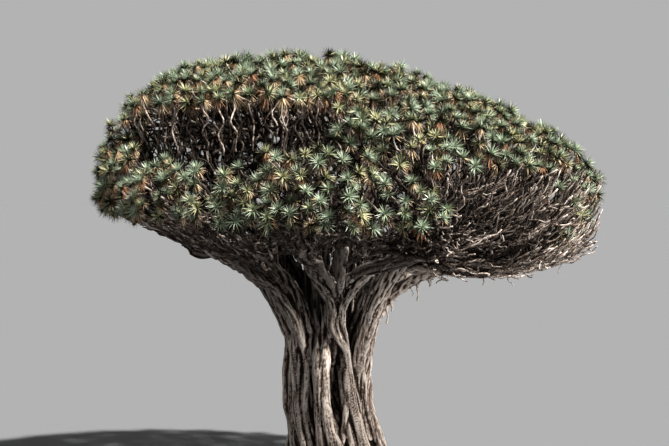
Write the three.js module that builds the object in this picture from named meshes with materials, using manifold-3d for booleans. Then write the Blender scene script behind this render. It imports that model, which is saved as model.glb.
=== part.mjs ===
// An old dragon tree: a fluted trunk on flared roots, ten main boughs that fork into limbs,
// and the broad umbrella of stiff leaf rosettes that the limbs carry.
// Millimetres, +Z up. The origin is on the ground, at the middle of the trunk's foot.
// The crown is seen from -Y: azimuth 0 points right (+X), 90 away (+Y), 180 left, 270 near.
import * as THREE from "three";
import { mergeVertices } from "three/addons/utils/BufferGeometryUtils.js";
import Module from "manifold-3d";

const wasm = await Module();
wasm.setup();

// Trunk
const trunk = {
  height: 6800, // from the ground to the fork
  neck: 1560, // radius where the trunk is narrowest
  buttress: 760, // how far the lower trunk swells beyond that
  buttressFall: 2000, // height over which that swelling dies away
  rootFlare: 560, // the last spread of the roots at the ground
  rootFall: 420,
  shoulder: 380, // how far it widens again under the fork
  drawIn: 0.24, // share that its top then narrows by, between the boughs
  lean: -460, // sideways shift of the upper trunk
  leanHeight: 4000,
  flutes: 9, // broad ridges, one below each outer bough and between
  fluteDepth: 0.07,
  cordDepth: 0.035, // finer ridges, like ropes
  twist: 0.5, // turn of the ridges from the ground to the fork, in radians
};

// Crown
const crown = {
  reach: 9650, // from the axis to the outermost tips
  reachRight: 250, // a little more on the right
  topHeight: 16850,
  wideHeight: 11600, // where the crown is widest
  lip: 1300, // depth scale of the skirt that hangs below that
  lipNear: 900, // how much deeper it hangs at the front and back
  lipRight: 3700, // and on the right
  roundness: 1.9, // exponent of the dome's outline
  roundnessRight: -0.8, // the right side slopes
  roundnessLeft: 2.0, // and the left shoulder is full
  lowest: 1.95, // polar angle of the lowest tips, in radians
  heart: 9800, // height of the point that tips are drawn in towards
  depth: 0.1, // share of the way that they are drawn in
  tips: 1000,
  seed: 23,
};

// Gaps in the shell of leaves, as azimuths in degrees and heights
const gaps = {
  window: { from: 192, to: 268, low: 13450, high: 14950 },
  openSide: { from: 292, to: 346, low: 0, high: 12700 },
};

// Boughs: azimuth, how far out and how high each one forks, the angle of its limbs to either
// side, and the height that they climb to under the rim
const outerBoughs = [
  { azimuth: 178, reach: 3300, height: 8800, spread: 13, rim: 9500 },
  { azimuth: 227, reach: 3100, height: 9000, spread: 12, rim: 9700 },
  { azimuth: 278, reach: 2000, height: 7800, spread: 22, rim: 9600 },
  { azimuth: 330, reach: 3300, height: 9200, spread: 12, rim: 9300 },
  { azimuth: 11, reach: 3700, height: 8600, spread: 14, rim: 8600 },
  { azimuth: 68, reach: 3300, height: 9000, spread: 14, rim: 9300 },
  { azimuth: 122, reach: 3300, height: 9100, spread: 14, rim: 9600 },
];
const innerBoughs = [
  { azimuth: 20, reach: 900, height: 12300 },
  { azimuth: 140, reach: 1000, height: 12400 },
  { azimuth: 262, reach: 1200, height: 12000 },
];
const bough = {
  start: 5200, // height inside the trunk where they begin
  rise: 2000, // how far they climb with the trunk before they lean out
  splay: 860, // how far they lean out meanwhile
  outerFoot: 1000, // distance of an outer bough's foot from the trunk's middle
  innerFoot: 450,
  outerRadius: 540,
  innerRadius: 340,
  taper: 0.52,
};
const limb = {
  turn: 0.5, // how far it has turned to its own way where it leaves the bough
  rimReach: 5700,
  midReach: 3700,
  midHeight: 12300,
  radius: 245,
  taper: 0.78,
};

// Where the middle of each mass of foliage lies
const site = { rimReach: 8700, rimHeight: 12600, midReach: 5400, midHeight: 15200 };
const topSite = { reach: 1800, height: 16400 };

// Twigs and rosettes
const twig = {
  tipRadius: 45,
  forkShare: 0.9, // larger puts the forks further out
  crotch: 2.4, // length of a fork's arms, in radii of the twig below it
  stout: 1.5, // a three-sided twig is drawn larger to keep its volume
};
const rosette = {
  tips: 9, // most tips of the crown that one rosette stands for
  leafReach: 460, // length of leaf for one tip; it grows with their square root
  core: 0.31, // size of its heart, as a share of the leaf
  downward: -0.3, // leaves lower than this are left out
  droop: 0.12,
  shortest: 0.4, // a leaf cut shorter than this share by its space is left out
  margin: 40, // how far the leaves stay from the next mass's space
  overhang: 480, // how far they stand out of the shell that the tips lie on
};
const gap = 0.3; // clearance between neighbouring pieces

const bark = new THREE.MeshStandardMaterial({ color: 0x8d7f72, roughness: 0.95, metalness: 0 });
const foliage = new THREE.MeshStandardMaterial({ color: 0x6f8a68, roughness: 0.6, metalness: 0 });

const toRadians = THREE.MathUtils.degToRad;
const smoothstep = THREE.MathUtils.smoothstep;
const up = new THREE.Vector3(0, 0, 1);

// A seeded stream of numbers from 0 to 1.
function seededNumbers(seed) {
  let state = seed >>> 0;
  return () => {
    state = (state + 0x6d2b79f5) >>> 0;
    let mixed = Math.imul(state ^ (state >>> 15), state | 1);
    mixed ^= mixed + Math.imul(mixed ^ (mixed >>> 7), mixed | 61);
    return ((mixed ^ (mixed >>> 14)) >>> 0) / 4294967296;
  };
}

function polar(azimuth, reach, height) {
  return new THREE.Vector3(reach * Math.cos(azimuth), reach * Math.sin(azimuth), height);
}

// A closed three.js geometry as a solid.
function solidOf(geometry) {
  const bare = new THREE.BufferGeometry();
  bare.setAttribute("position", geometry.getAttribute("position").clone());
  bare.setIndex(geometry.index);
  const merged = mergeVertices(bare, 1e-3);
  return new wasm.Manifold(
    new wasm.Mesh({
      numProp: 3,
      vertProperties: merged.attributes.position.array,
      triVerts: new Uint32Array(merged.index.array),
    }),
  );
}

function geometryOf(solid) {
  const mesh = solid.getMesh();
  const geometry = new THREE.BufferGeometry();
  geometry.setAttribute("position", new THREE.BufferAttribute(mesh.vertProperties, 3));
  geometry.setIndex(new THREE.BufferAttribute(mesh.triVerts, 1));
  geometry.computeVertexNormals();
  return geometry;
}

// Moves every vertex of a geometry to the place that a function of its old place gives.
function reshape(geometry, place) {
  const position = geometry.getAttribute("position");
  const vertex = new THREE.Vector3();
  for (let i = 0; i < position.count; i++) {
    vertex.fromBufferAttribute(position, i);
    place(vertex);
    position.setXYZ(i, vertex.x, vertex.y, vertex.z);
  }
  return geometry;
}

// The trunk's middle at a height.
function trunkCentre(height) {
  return trunk.lean * smoothstep(height, 0, trunk.leanHeight);
}

// The trunk's radius: a narrow neck, swollen towards the ground and again under the fork,
// where its top draws in between the boughs.
function trunkRadius(height, azimuth) {
  const base =
    trunk.neck +
    trunk.buttress * Math.exp(-height / trunk.buttressFall) +
    trunk.rootFlare * Math.exp(-height / trunk.rootFall) +
    trunk.shoulder * smoothstep(height, 0.74 * trunk.height, trunk.height);
  const top = 1 - trunk.drawIn * smoothstep(height, 0.85 * trunk.height, trunk.height);
  const turned = azimuth + (trunk.twist * height) / trunk.height;
  const foot = 1 + 0.8 * Math.exp(-height / trunk.buttressFall);
  const flutes = trunk.fluteDepth * foot * Math.cos(trunk.flutes * turned);
  const cords = trunk.cordDepth * Math.cos((2 * trunk.flutes + 3) * turned + 1.2);
  return base * top * (1 + flutes + cords);
}

// The trunk, grown outwards by a clearance where it is used to cut its neighbours.
function trunkSolid(grow = 0) {
  const columns = 54;
  const rows = 12;
  const domeHeight = 500;
  const cylinder = new THREE.CylinderGeometry(1, 1, 1, columns, rows);
  cylinder.rotateX(Math.PI / 2);
  reshape(cylinder, (vertex) => {
    const share = vertex.z + 0.5;
    const radial = Math.hypot(vertex.x, vertex.y);
    const azimuth = Math.atan2(vertex.y, vertex.x);
    const height = trunk.height * share ** 1.4;
    const reach = radial > 0.5 ? trunkRadius(height, azimuth) + grow : 0;
    const dome = share === 1 && radial < 0.5 ? domeHeight : 0;
    const ends = share === 1 ? grow : 0;
    vertex.set(
      trunkCentre(height) + reach * Math.cos(azimuth),
      reach * Math.sin(azimuth),
      height + dome + ends,
    );
  });
  return solidOf(cylinder);
}

function hullOf(points) {
  return wasm.Manifold.hull(points.map((point) => point.toArray()));
}

// A limb that tapers along a curve: hulls from ring to ring, each grown by the clearance.
function limbSolid(shape, grow = 0) {
  const frames = shape.curve.computeFrenetFrames(shape.steps, false);
  const ringAt = (step, shift) => {
    const share = step / shape.steps;
    const radius = THREE.MathUtils.lerp(shape.from, shape.to, share) + grow;
    const centre = shape.curve.getPointAt(share).addScaledVector(frames.tangents[step], shift);
    return Array.from({ length: shape.sides }, (_, k) => {
      const turn = (2 * Math.PI * k) / shape.sides;
      return centre
        .clone()
        .addScaledVector(frames.normals[step], radius * Math.cos(turn))
        .addScaledVector(frames.binormals[step], radius * Math.sin(turn));
    });
  };
  const hulls = [];
  for (let step = 0; step < shape.steps; step++) {
    const foot = step === 0 ? -grow : 0;
    const head = step + 1 === shape.steps ? grow : 0;
    hulls.push(hullOf([...ringAt(step, foot), ...ringAt(step + 1, head)]));
  }
  return wasm.Manifold.union(hulls);
}

// A bough leaves the trunk steeply, then leans out to where it forks.
function boughShape(place, foot, radius) {
  const azimuth = toRadians(place.azimuth);
  const middle = new THREE.Vector3(trunkCentre(bough.start), 0, 0);
  const start = polar(azimuth, foot, bough.start).add(middle);
  const splay = Math.min(bough.splay, 0.4 * place.reach);
  const shoulder = polar(azimuth, foot + splay, bough.start + bough.rise).add(middle);
  const end = polar(azimuth, place.reach, place.height).add(middle);
  const elbow = end.clone().lerp(shoulder, 0.45);
  elbow.z -= 0.06 * (place.height - bough.start);
  const curve = new THREE.CubicBezierCurve3(start, shoulder, elbow, end);
  return { curve, from: radius, to: radius * bough.taper, sides: 8, steps: 6 };
}

// A limb goes on from its bough's end to the foot of one mass of foliage.
function limbShape(parent, end) {
  const start = parent.curve.getPointAt(0.985);
  const length = start.distanceTo(end);
  const straight = end.clone().sub(start).normalize();
  const heading = parent.curve.getTangentAt(1).lerp(straight, limb.turn).normalize();
  const first = start.clone().addScaledVector(heading, 0.3 * length);
  const second = end.clone().lerp(start, 0.35);
  second.z -= 0.05 * length;
  const curve = new THREE.CubicBezierCurve3(start, first, second, end);
  return { curve, from: limb.radius, to: limb.radius * limb.taper, sides: 6, steps: 4 };
}

// Every limb of the tree by name, in the order that they are cut clear of each other.
function allLimbs() {
  const limbs = new Map();
  outerBoughs.forEach((place, k) => {
    limbs.set(`bough_${k + 1}`, boughShape(place, bough.outerFoot, bough.outerRadius));
  });
  innerBoughs.forEach((place, k) => {
    limbs.set(`bough_inner_${k + 1}`, boughShape(place, bough.innerFoot, bough.innerRadius));
  });
  outerBoughs.forEach((place, k) => {
    const parent = limbs.get(`bough_${k + 1}`);
    const azimuth = toRadians(place.azimuth);
    const rimEnd = (side) =>
      polar(azimuth + side * toRadians(place.spread), limb.rimReach, place.rim);
    limbs.set(`limb_${k + 1}a`, limbShape(parent, rimEnd(-1)));
    limbs.set(`limb_${k + 1}b`, limbShape(parent, rimEnd(1)));
    limbs.set(`limb_${k + 1}c`, limbShape(parent, polar(azimuth, limb.midReach, limb.midHeight)));
  });
  return limbs;
}

// The masses of foliage: the limb that each grows on, and the middle of its space.
function allMasses() {
  const masses = [];
  outerBoughs.forEach((place, k) => {
    const azimuth = toRadians(place.azimuth);
    const side = toRadians(place.spread);
    const rim = (turn) => polar(azimuth + turn, site.rimReach, site.rimHeight);
    masses.push({ name: `foliage_${k + 1}a`, limb: `limb_${k + 1}a`, middle: rim(-side) });
    masses.push({ name: `foliage_${k + 1}b`, limb: `limb_${k + 1}b`, middle: rim(side) });
    const mid = polar(azimuth, site.midReach, site.midHeight);
    masses.push({ name: `foliage_${k + 1}c`, limb: `limb_${k + 1}c`, middle: mid });
  });
  innerBoughs.forEach((place, k) => {
    const middle = polar(toRadians(place.azimuth), topSite.reach, topSite.height);
    masses.push({ name: `foliage_top_${k + 1}`, limb: `bough_inner_${k + 1}`, middle });
  });
  return masses;
}

// The measures of the crown's shell at an azimuth: (r / reach) ^ round + (h / rise) ^ 2 = 1,
// where h is the height above the widest place and below it the lip takes the place of the rise.
function crownShape(azimuth, above) {
  const right = Math.cos(azimuth);
  const near = Math.abs(Math.sin(azimuth));
  return {
    round:
      crown.roundness +
      crown.roundnessRight * Math.max(0, right) +
      crown.roundnessLeft * Math.max(0, -right) ** 2,
    reach: crown.reach + crown.reachRight * right,
    rise: above
      ? crown.topHeight - crown.wideHeight
      : crown.lip + crown.lipNear * near + crown.lipRight * Math.max(0, right),
  };
}

// The shell at a polar angle from its top and an azimuth.
function crownPoint(angle, azimuth) {
  const { round, reach, rise } = crownShape(azimuth, Math.cos(angle) > 0);
  return polar(
    azimuth,
    reach * Math.sin(angle) ** (2 / round),
    crown.wideHeight + rise * Math.cos(angle),
  );
}

// Whether a point lies inside the shell, grown by the overhang of the leaves.
function withinCrown(point) {
  const above = point.z > crown.wideHeight;
  const { round, reach, rise } = crownShape(Math.atan2(point.y, point.x), above);
  const across = Math.hypot(point.x, point.y) / (reach + rosette.overhang);
  const along = Math.abs(point.z - crown.wideHeight) / (rise + rosette.overhang);
  return across ** round + along ** 2 < 1;
}

// The polar angle up to which a share of the shell's area at an azimuth lies.
function evenAngle(share, azimuth, steps = 120) {
  const sums = [0];
  let before = crownPoint(0, azimuth);
  for (let k = 1; k <= steps; k++) {
    const next = crownPoint((crown.lowest * k) / steps, azimuth);
    const width = (Math.hypot(before.x, before.y) + Math.hypot(next.x, next.y)) / 2;
    sums.push(sums[k - 1] + width * before.distanceTo(next));
    before = next;
  }
  const wanted = share * sums[steps];
  const k = Math.max(1, sums.findIndex((sum) => sum >= wanted));
  const within = (wanted - sums[k - 1]) / (sums[k] - sums[k - 1]);
  return (crown.lowest * (k - 1 + within)) / steps;
}

function inside(azimuthDegrees, height, opening) {
  return (
    azimuthDegrees > opening.from &&
    azimuthDegrees < opening.to &&
    height > opening.low &&
    height < opening.high
  );
}

// The tips of the crown: a golden-angle spiral over the shell, shaken by the seeded stream.
function crownTips() {
  const draw = seededNumbers(crown.seed);
  const golden = Math.PI * (3 - Math.sqrt(5));
  const heart = new THREE.Vector3(0, 0, crown.heart);
  const tips = [];
  for (let i = 0; i < crown.tips; i++) {
    const shaken = (i + 0.5 + 14 * (draw() - 0.5)) / crown.tips;
    const azimuth = i * golden + 0.05 * (draw() - 0.5);
    const angle = evenAngle(THREE.MathUtils.clamp(shaken, 0.0005, 0.9995), azimuth);
    const tip = crownPoint(angle, azimuth).lerp(heart, crown.depth * draw() ** 2);
    const turned = THREE.MathUtils.euclideanModulo(THREE.MathUtils.radToDeg(azimuth), 360);
    tip.bare = inside(turned, tip.z, gaps.openSide);
    if (!inside(turned, tip.z, gaps.window)) tips.push(tip);
  }
  return tips;
}

function meanOf(points) {
  const mean = new THREE.Vector3();
  for (const point of points) mean.add(point);
  return mean.divideScalar(points.length);
}

// Two halves of a group of tips, parted across the direction in which it is longest.
function halves(tips, middle) {
  const axis = new THREE.Vector3(0.6, 0.64, 0.48);
  const offset = new THREE.Vector3();
  for (let round = 0; round < 8; round++) {
    const next = new THREE.Vector3();
    for (const tip of tips) {
      offset.subVectors(tip, middle);
      next.addScaledVector(offset, offset.dot(axis));
    }
    axis.copy(next.normalize());
  }
  const sorted = tips
    .map((tip) => ({ tip, along: offset.subVectors(tip, middle).dot(axis) }))
    .sort((a, b) => a.along - b.along)
    .map((entry) => entry.tip);
  const half = Math.ceil(tips.length / 2);
  return [sorted.slice(0, half), sorted.slice(half)];
}

// Forks a stem in two again and again until each twig serves the tips of one rosette.
function growTwigs(from, tips) {
  const middle = meanOf(tips);
  const last = tips.length <= rosette.tips;
  const share = last ? 1 : twig.forkShare / (Math.log2(tips.length) + twig.forkShare);
  const to = from.clone().lerp(middle, share);
  const forks = last ? [] : halves(tips, middle).map((half) => growTwigs(to, half));
  const heading = to.clone().sub(from).normalize();
  const radius = twig.stout * twig.tipRadius * Math.sqrt(tips.length);
  const bare = !last || tips.every((tip) => tip.bare);
  return { from, to, heading, radius, length: from.distanceTo(to), tips: tips.length, forks, bare };
}

// Three corners round a twig, a distance along it.
function ringOf(part, along, radius) {
  const turn = new THREE.Quaternion().setFromUnitVectors(up, part.heading);
  return [0, 1, 2].map((k) =>
    polar((k * 2 * Math.PI) / 3, radius, along).applyQuaternion(turn).add(part.from),
  );
}

// The solids of a twig and of all that grows on it. The fork is the hull of the three ends
// that meet there, and a last twig ends in one face of its rosette's core.
function twigSolids(part, startRing, room) {
  const reach = (other) => Math.min(twig.crotch * part.radius, 0.4 * other.length);
  if (part.forks.length === 0) {
    if (part.bare) return [hullOf([...startRing, ...ringOf(part, part.length, 0.5 * part.radius)])];
    const { solid, foot } = rosetteSolid(part, room);
    return [hullOf([...startRing, ...foot]), solid];
  }
  const endRing = ringOf(part, part.length - reach(part), 0.9 * part.radius);
  const childRings = part.forks.map((child) => ringOf(child, reach(child), child.radius));
  return [
    hullOf([...startRing, ...endRing]),
    hullOf([...endRing, ...childRings.flat()]),
    ...part.forks.flatMap((child, k) => twigSolids(child, childRings[k], room)),
  ];
}

// A rosette: the faces of a small core, each drawn out into one pointed leaf, but for those
// that look down and the one that its twig ends in.
// Lengths come from room(centre, tip): the share of a leaf that its space can hold.
function rosetteSolid(part, room) {
  const leaf = rosette.leafReach * Math.sqrt(part.tips);
  const heading = part.heading.clone().add(up).normalize();
  const core = new THREE.IcosahedronGeometry(rosette.core * leaf, 0);
  const position = core.getAttribute("position");
  const cornersOf = (face) =>
    [0, 1, 2].map((k) => new THREE.Vector3().fromBufferAttribute(position, face + k));
  const turn = new THREE.Quaternion().setFromUnitVectors(
    meanOf(cornersOf(0)).normalize(),
    part.heading.clone().negate(),
  );
  core.applyQuaternion(turn);
  core.translate(part.to.x, part.to.y, part.to.z);
  const corners = [];
  for (let face = 0; face < position.count; face += 3) {
    const [a, b, c] = cornersOf(face);
    const outward = meanOf([a, b, c]).sub(part.to).normalize();
    const tip = part.to.clone().addScaledVector(outward, leaf);
    tip.z -= rosette.droop * leaf * (1 - outward.z);
    const looksDown = face === 0 || outward.dot(heading) < rosette.downward;
    const share = looksDown ? 0 : room(part.to, tip);
    if (share < rosette.shortest) {
      corners.push(a, b, c);
    } else {
      tip.lerpVectors(part.to, tip, share);
      corners.push(a, b, tip, b, c, tip, c, a, tip);
    }
  }
  const star = new THREE.BufferGeometry().setFromPoints(corners);
  return { solid: solidOf(star), foot: cornersOf(0) };
}

// Whether a point is clear of every limb.
function clearOfLimbs(point, spines) {
  return spines.every(({ points, radius }) =>
    points.every((spot) => spot.distanceTo(point) > radius),
  );
}

// The share of a leaf that stays in its mass's space and short of the next rosette.
function roomFor(mass, others, centres, spines) {
  return (centre, tip) => {
    let share = 1;
    const stopAt = (own, other, slack) => {
      const plane = other.clone().sub(own);
      const limit = 0.5 * (other.lengthSq() - own.lengthSq()) - slack * plane.length();
      const [inner, outer] = [limit - plane.dot(centre), limit - plane.dot(tip)];
      if (outer < 0) share = Math.min(share, Math.max(0, inner / (inner - outer)));
    };
    for (const other of others) stopAt(mass.middle, other.middle, rosette.margin);
    for (const other of centres) if (other !== centre) stopAt(centre, other, 0);
    while (share > 0 && !withinCrown(centre.clone().lerp(tip, share))) share -= 0.05;
    const reached = centre.clone().lerp(tip, share);
    const halfway = centre.clone().lerp(tip, 0.5 * share);
    return clearOfLimbs(reached, spines) && clearOfLimbs(halfway, spines) ? share : 0;
  };
}

// One mass of foliage: stem, forking twigs and rosettes, all in the mass's own space.
function massSolid(mass, masses, limbs, spines) {
  const shape = limbs.get(mass.limb);
  const stem = growTwigs(shape.curve.getPointAt(0.97), mass.tips);
  stem.radius = Math.min(stem.radius, 0.95 * shape.to);
  const others = masses.filter((other) => other !== mass);
  const endsOf = (part) => (part.bare ? part.forks.flatMap(endsOf) : [part.to]);
  const room = roomFor(mass, others, endsOf(stem), spines);
  return wasm.Manifold.union(twigSolids(stem, ringOf(stem, 0, stem.radius), room));
}

// The largest body of a solid, so that no loose scrap is left by a cut.
function largest(solid) {
  return solid.decompose().reduce((a, b) => (b.volume() > a.volume() ? b : a));
}

function addMesh(group, name, solid, material) {
  const mesh = new THREE.Mesh(geometryOf(solid), material);
  mesh.name = name;
  group.add(mesh);
}

const tree = new THREE.Group();
const limbs = allLimbs();
const masses = allMasses();
for (const mass of masses) mass.tips = [];
for (const tip of crownTips()) {
  const nearest = masses.reduce((a, b) =>
    tip.distanceToSquared(b.middle) < tip.distanceToSquared(a.middle) ? b : a,
  );
  nearest.tips.push(tip);
}

addMesh(tree, "trunk", trunkSolid(), bark);
let cutter = trunkSolid(gap);
for (const [name, shape] of limbs) {
  addMesh(tree, name, largest(limbSolid(shape).subtract(cutter)), bark);
  cutter = cutter.add(limbSolid(shape, gap));
}

const spineSteps = 24;
const spines = [...limbs.values()].map((shape) => ({
  points: shape.curve.getSpacedPoints(spineSteps),
  radius: shape.from + 120,
}));
for (const mass of masses) {
  const solid = massSolid(mass, masses, limbs, spines);
  addMesh(tree, mass.name, largest(solid.subtract(cutter)), foliage);
}

export default tree;
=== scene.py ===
import math
from collections import namedtuple

import bpy
import numpy as np
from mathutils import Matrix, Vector


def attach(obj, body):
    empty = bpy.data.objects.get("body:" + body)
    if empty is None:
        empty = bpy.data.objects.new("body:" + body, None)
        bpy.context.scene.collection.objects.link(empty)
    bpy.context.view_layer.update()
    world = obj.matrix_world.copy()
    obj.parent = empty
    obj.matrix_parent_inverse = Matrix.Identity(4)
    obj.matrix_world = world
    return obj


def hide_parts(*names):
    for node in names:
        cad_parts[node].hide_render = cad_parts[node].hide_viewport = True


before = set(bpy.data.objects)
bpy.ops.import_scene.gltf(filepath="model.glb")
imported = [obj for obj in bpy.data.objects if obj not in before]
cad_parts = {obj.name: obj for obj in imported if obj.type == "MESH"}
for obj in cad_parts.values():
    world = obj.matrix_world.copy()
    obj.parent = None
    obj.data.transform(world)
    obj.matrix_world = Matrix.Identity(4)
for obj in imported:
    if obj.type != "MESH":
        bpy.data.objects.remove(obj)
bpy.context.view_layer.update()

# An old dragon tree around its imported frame, in metres. Azimuth 0 points right (+X), and 270 towards
# the camera
up = np.array([0.0, 0.0, 1.0])
print("frame", len(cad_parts), "nodes")


# Measures of the trunk, crown and limbs, the same as in the part's source
trunk = {
    "height": 6.8, "neck": 1.56, "buttress": 0.76, "buttressFall": 2.0,
    "rootFlare": 0.56, "rootFall": 0.42, "shoulder": 0.38, "drawIn": 0.24,
    "lean": -0.46, "leanHeight": 4.0,
    "flutes": 9, "fluteDepth": 0.07, "cordDepth": 0.035, "twist": 0.5,
}
crown = {
    "reach": 9.65, "reachRight": 0.25, "topHeight": 16.85, "wideHeight": 11.6,
    "lip": 1.3, "lipNear": 0.9, "lipRight": 3.7,
    "roundness": 1.9, "roundnessRight": -0.8, "roundnessLeft": 2.0,
    "lowest": 1.95, "heart": 9.8, "depth": 0.1,
    "tips": 1850,  # finer than the source
    "seed": 23,
}
gaps = {
    "window": {"from": 192, "to": 268, "low": 13.45, "high": 14.95},
    "dip": {"azimuth": 240, "width": 13, "depth": 0.75},  # of the window's lower edge
    # from rimFrom on every other rosette stays
    "openSide": {"from": 292, "to": 346, "high": 12.7, "rimFrom": 331},
}
outerBoughs = [
    {"azimuth": 178, "reach": 3.3, "height": 8.8, "spread": 13, "rim": 9.5},
    {"azimuth": 227, "reach": 3.1, "height": 9.0, "spread": 12, "rim": 9.7},
    {"azimuth": 278, "reach": 2.0, "height": 7.8, "spread": 22, "rim": 9.6},
    {"azimuth": 330, "reach": 3.3, "height": 9.2, "spread": 12, "rim": 9.3},
    {"azimuth": 11, "reach": 3.7, "height": 8.6, "spread": 14, "rim": 8.6},
    {"azimuth": 68, "reach": 3.3, "height": 9.0, "spread": 14, "rim": 9.3},
    {"azimuth": 122, "reach": 3.3, "height": 9.1, "spread": 14, "rim": 9.6},
]
innerBoughs = [
    {"azimuth": 20, "reach": 0.9, "height": 12.3},
    {"azimuth": 140, "reach": 1.0, "height": 12.4},
    {"azimuth": 262, "reach": 1.2, "height": 12.0},
]
bough = {"start": 5.2, "rise": 2.0, "splay": 0.86, "outerFoot": 1.0, "innerFoot": 0.45,
         "outerRadius": 0.54, "innerRadius": 0.34, "taper": 0.52}
limb = {"turn": 0.5, "rimReach": 5.7, "midReach": 3.7, "midHeight": 12.3, "radius": 0.245, "taper": 0.78}
site = {"rimReach": 8.7, "rimHeight": 12.6, "midReach": 5.4, "midHeight": 15.2}
topSite = {"reach": 1.8, "height": 16.4}


class SeededNumbers:  # the source's stream of numbers from 0 to 1
    def __init__(self, seed):
        self.state = seed & 0xFFFFFFFF

    def draw(self):
        low32 = 0xFFFFFFFF
        self.state = (self.state + 0x6D2B79F5) & low32
        mixed = (self.state ^ (self.state >> 15)) * (self.state | 1) & low32
        mixed ^= (mixed + ((mixed ^ (mixed >> 7)) * (mixed | 61) & low32)) & low32
        return (mixed ^ (mixed >> 14)) / 4294967296


def polar(azimuth, reach, height):
    return np.array([reach * math.cos(azimuth), reach * math.sin(azimuth), height])


def unit(v):  # vectors along the last axis, at length 1
    return v / np.maximum(np.linalg.norm(v, axis=-1, keepdims=True), 1e-9)


def smooth(x, low, high):  # 3x^2 - 2x^3 between two ends
    t = np.clip((x - low) / (high - low), 0, 1)
    return t * t * (3 - 2 * t)


def turnFrom(middle, azimuth):  # the signed turn from one azimuth to another, in radians
    return (azimuth - middle + np.pi) % (2 * np.pi) - np.pi


def waver(rng, along, slowest, fastest):  # a sine of seeded pitch and phase
    return np.sin(rng.uniform(slowest, fastest) * along + rng.uniform(0, 6.3))


# Curves
def evenly(points, count):  # a polyline drawn again with points evenly along it
    steps = np.linalg.norm(np.diff(points, axis=0), axis=1)
    travelled = np.concatenate([[0], np.cumsum(steps)])
    wanted = np.linspace(0, travelled[-1], count)
    return np.stack([np.interp(wanted, travelled, points[:, k]) for k in range(3)], axis=1)


def bezier(start, first, second, end):  # a cubic curve as 201 even points
    t = np.linspace(0, 1, 401)[:, None]
    s = 1 - t
    points = s**3 * start + 3 * s * s * t * first + 3 * s * t * t * second + t**3 * end
    return evenly(points, 201)


def trunkCentre(height):
    return trunk["lean"] * smooth(height, 0, trunk["leanHeight"])


def drawnIn(curve):  # a bough's curve, a little nearer to the axis where it leaves the trunk
    share = 0.17 * smooth(curve[:, 2], 5.2, 6.4) * (1 - smooth(curve[:, 2], 8.0, 9.0))
    middle = np.array([trunk["lean"], 0])
    return np.concatenate([middle + (1 - share)[:, None] * (curve[:, :2] - middle), curve[:, 2:]], axis=1)


def boughCurve(place, foot):  # leaves the trunk steeply, then leans out to where it forks
    azimuth = math.radians(place["azimuth"])
    middle = np.array([trunkCentre(bough["start"]), 0, 0])
    start = polar(azimuth, foot, bough["start"]) + middle
    splay = min(bough["splay"], 0.4 * place["reach"])
    shoulder = polar(azimuth, foot + splay, bough["start"] + bough["rise"]) + middle
    end = polar(azimuth, place["reach"], place["height"]) + middle
    elbow = end + 0.45 * (shoulder - end)
    elbow[2] -= 0.06 * (place["height"] - bough["start"])
    return bezier(start, shoulder, elbow, end)


def limbCurve(parent, end):  # goes on from its bough's end to the foot of one mass
    start = parent[197]
    length = np.linalg.norm(end - start)
    along = unit(parent[-1] - parent[-2])
    heading = unit(along + limb["turn"] * (unit(end - start) - along))
    second = end + 0.35 * (start - end)
    second[2] -= 0.05 * length
    return bezier(start, start + 0.3 * length * heading, second, end)


limbs = {}  # name to curve, radius at its foot, and the share of it that is left at its end
for k, place in enumerate(outerBoughs):
    curve = boughCurve(place, bough["outerFoot"])
    limbs[f"bough_{k + 1}"] = (curve, bough["outerRadius"], bough["taper"])
for k, place in enumerate(innerBoughs):
    curve = boughCurve(place, bough["innerFoot"])
    limbs[f"bough_inner_{k + 1}"] = (curve, bough["innerRadius"], bough["taper"])
for k, place in enumerate(outerBoughs):
    parent = limbs[f"bough_{k + 1}"][0]
    azimuth = math.radians(place["azimuth"])
    spread = math.radians(place["spread"])
    ends = {
        "a": polar(azimuth - spread, limb["rimReach"], place["rim"]),
        "b": polar(azimuth + spread, limb["rimReach"], place["rim"]),
        "c": polar(azimuth, limb["midReach"], limb["midHeight"]),
    }
    for letter, end in ends.items():
        limbs[f"limb_{k + 1}{letter}"] = (limbCurve(parent, end), limb["radius"], limb["taper"])

masses = []  # name, limb, middle of its space
for k, place in enumerate(outerBoughs):
    azimuth = math.radians(place["azimuth"])
    side = math.radians(place["spread"])
    for letter, turn in (("a", -side), ("b", side)):
        masses.append((f"foliage_{k + 1}{letter}", f"limb_{k + 1}{letter}",
                       polar(azimuth + turn, site["rimReach"], site["rimHeight"])))
    masses.append((f"foliage_{k + 1}c", f"limb_{k + 1}c",
                   polar(azimuth, site["midReach"], site["midHeight"])))
for k, place in enumerate(innerBoughs):
    masses.append((f"foliage_top_{k + 1}", f"bough_inner_{k + 1}",
                   polar(math.radians(place["azimuth"]), topSite["reach"], topSite["height"])))
print("limbs", len(limbs), "masses", len(masses))


# The crown's shell: (r / reach)^round + (h / rise)^2 = 1
def shellMeasures(azimuth, above):
    right, near = np.cos(azimuth), np.abs(np.sin(azimuth))
    lip = crown["lip"] + crown["lipNear"] * near + crown["lipRight"] * np.maximum(0, right)
    rise = np.where(above, crown["topHeight"] - crown["wideHeight"], lip)
    roundness = (crown["roundness"] + crown["roundnessRight"] * np.maximum(0, right)
                 + crown["roundnessLeft"] * np.maximum(0, -right) ** 2)
    return roundness, crown["reach"] + crown["reachRight"] * right, rise


def crownPoint(angle, azimuth):
    roundness, reach, rise = shellMeasures(azimuth, math.cos(angle) > 0)
    out = reach * math.sin(angle) ** (2 / roundness)
    return polar(azimuth, out, crown["wideHeight"] + rise * math.cos(angle))


def domeHeight(out, azimuth):  # of the shell above a place
    roundness, reach, rise = shellMeasures(azimuth, True)
    share = (np.minimum(out, reach) / reach) ** roundness
    return crown["wideHeight"] + rise * np.sqrt(np.clip(1 - share, 0, 1))


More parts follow.
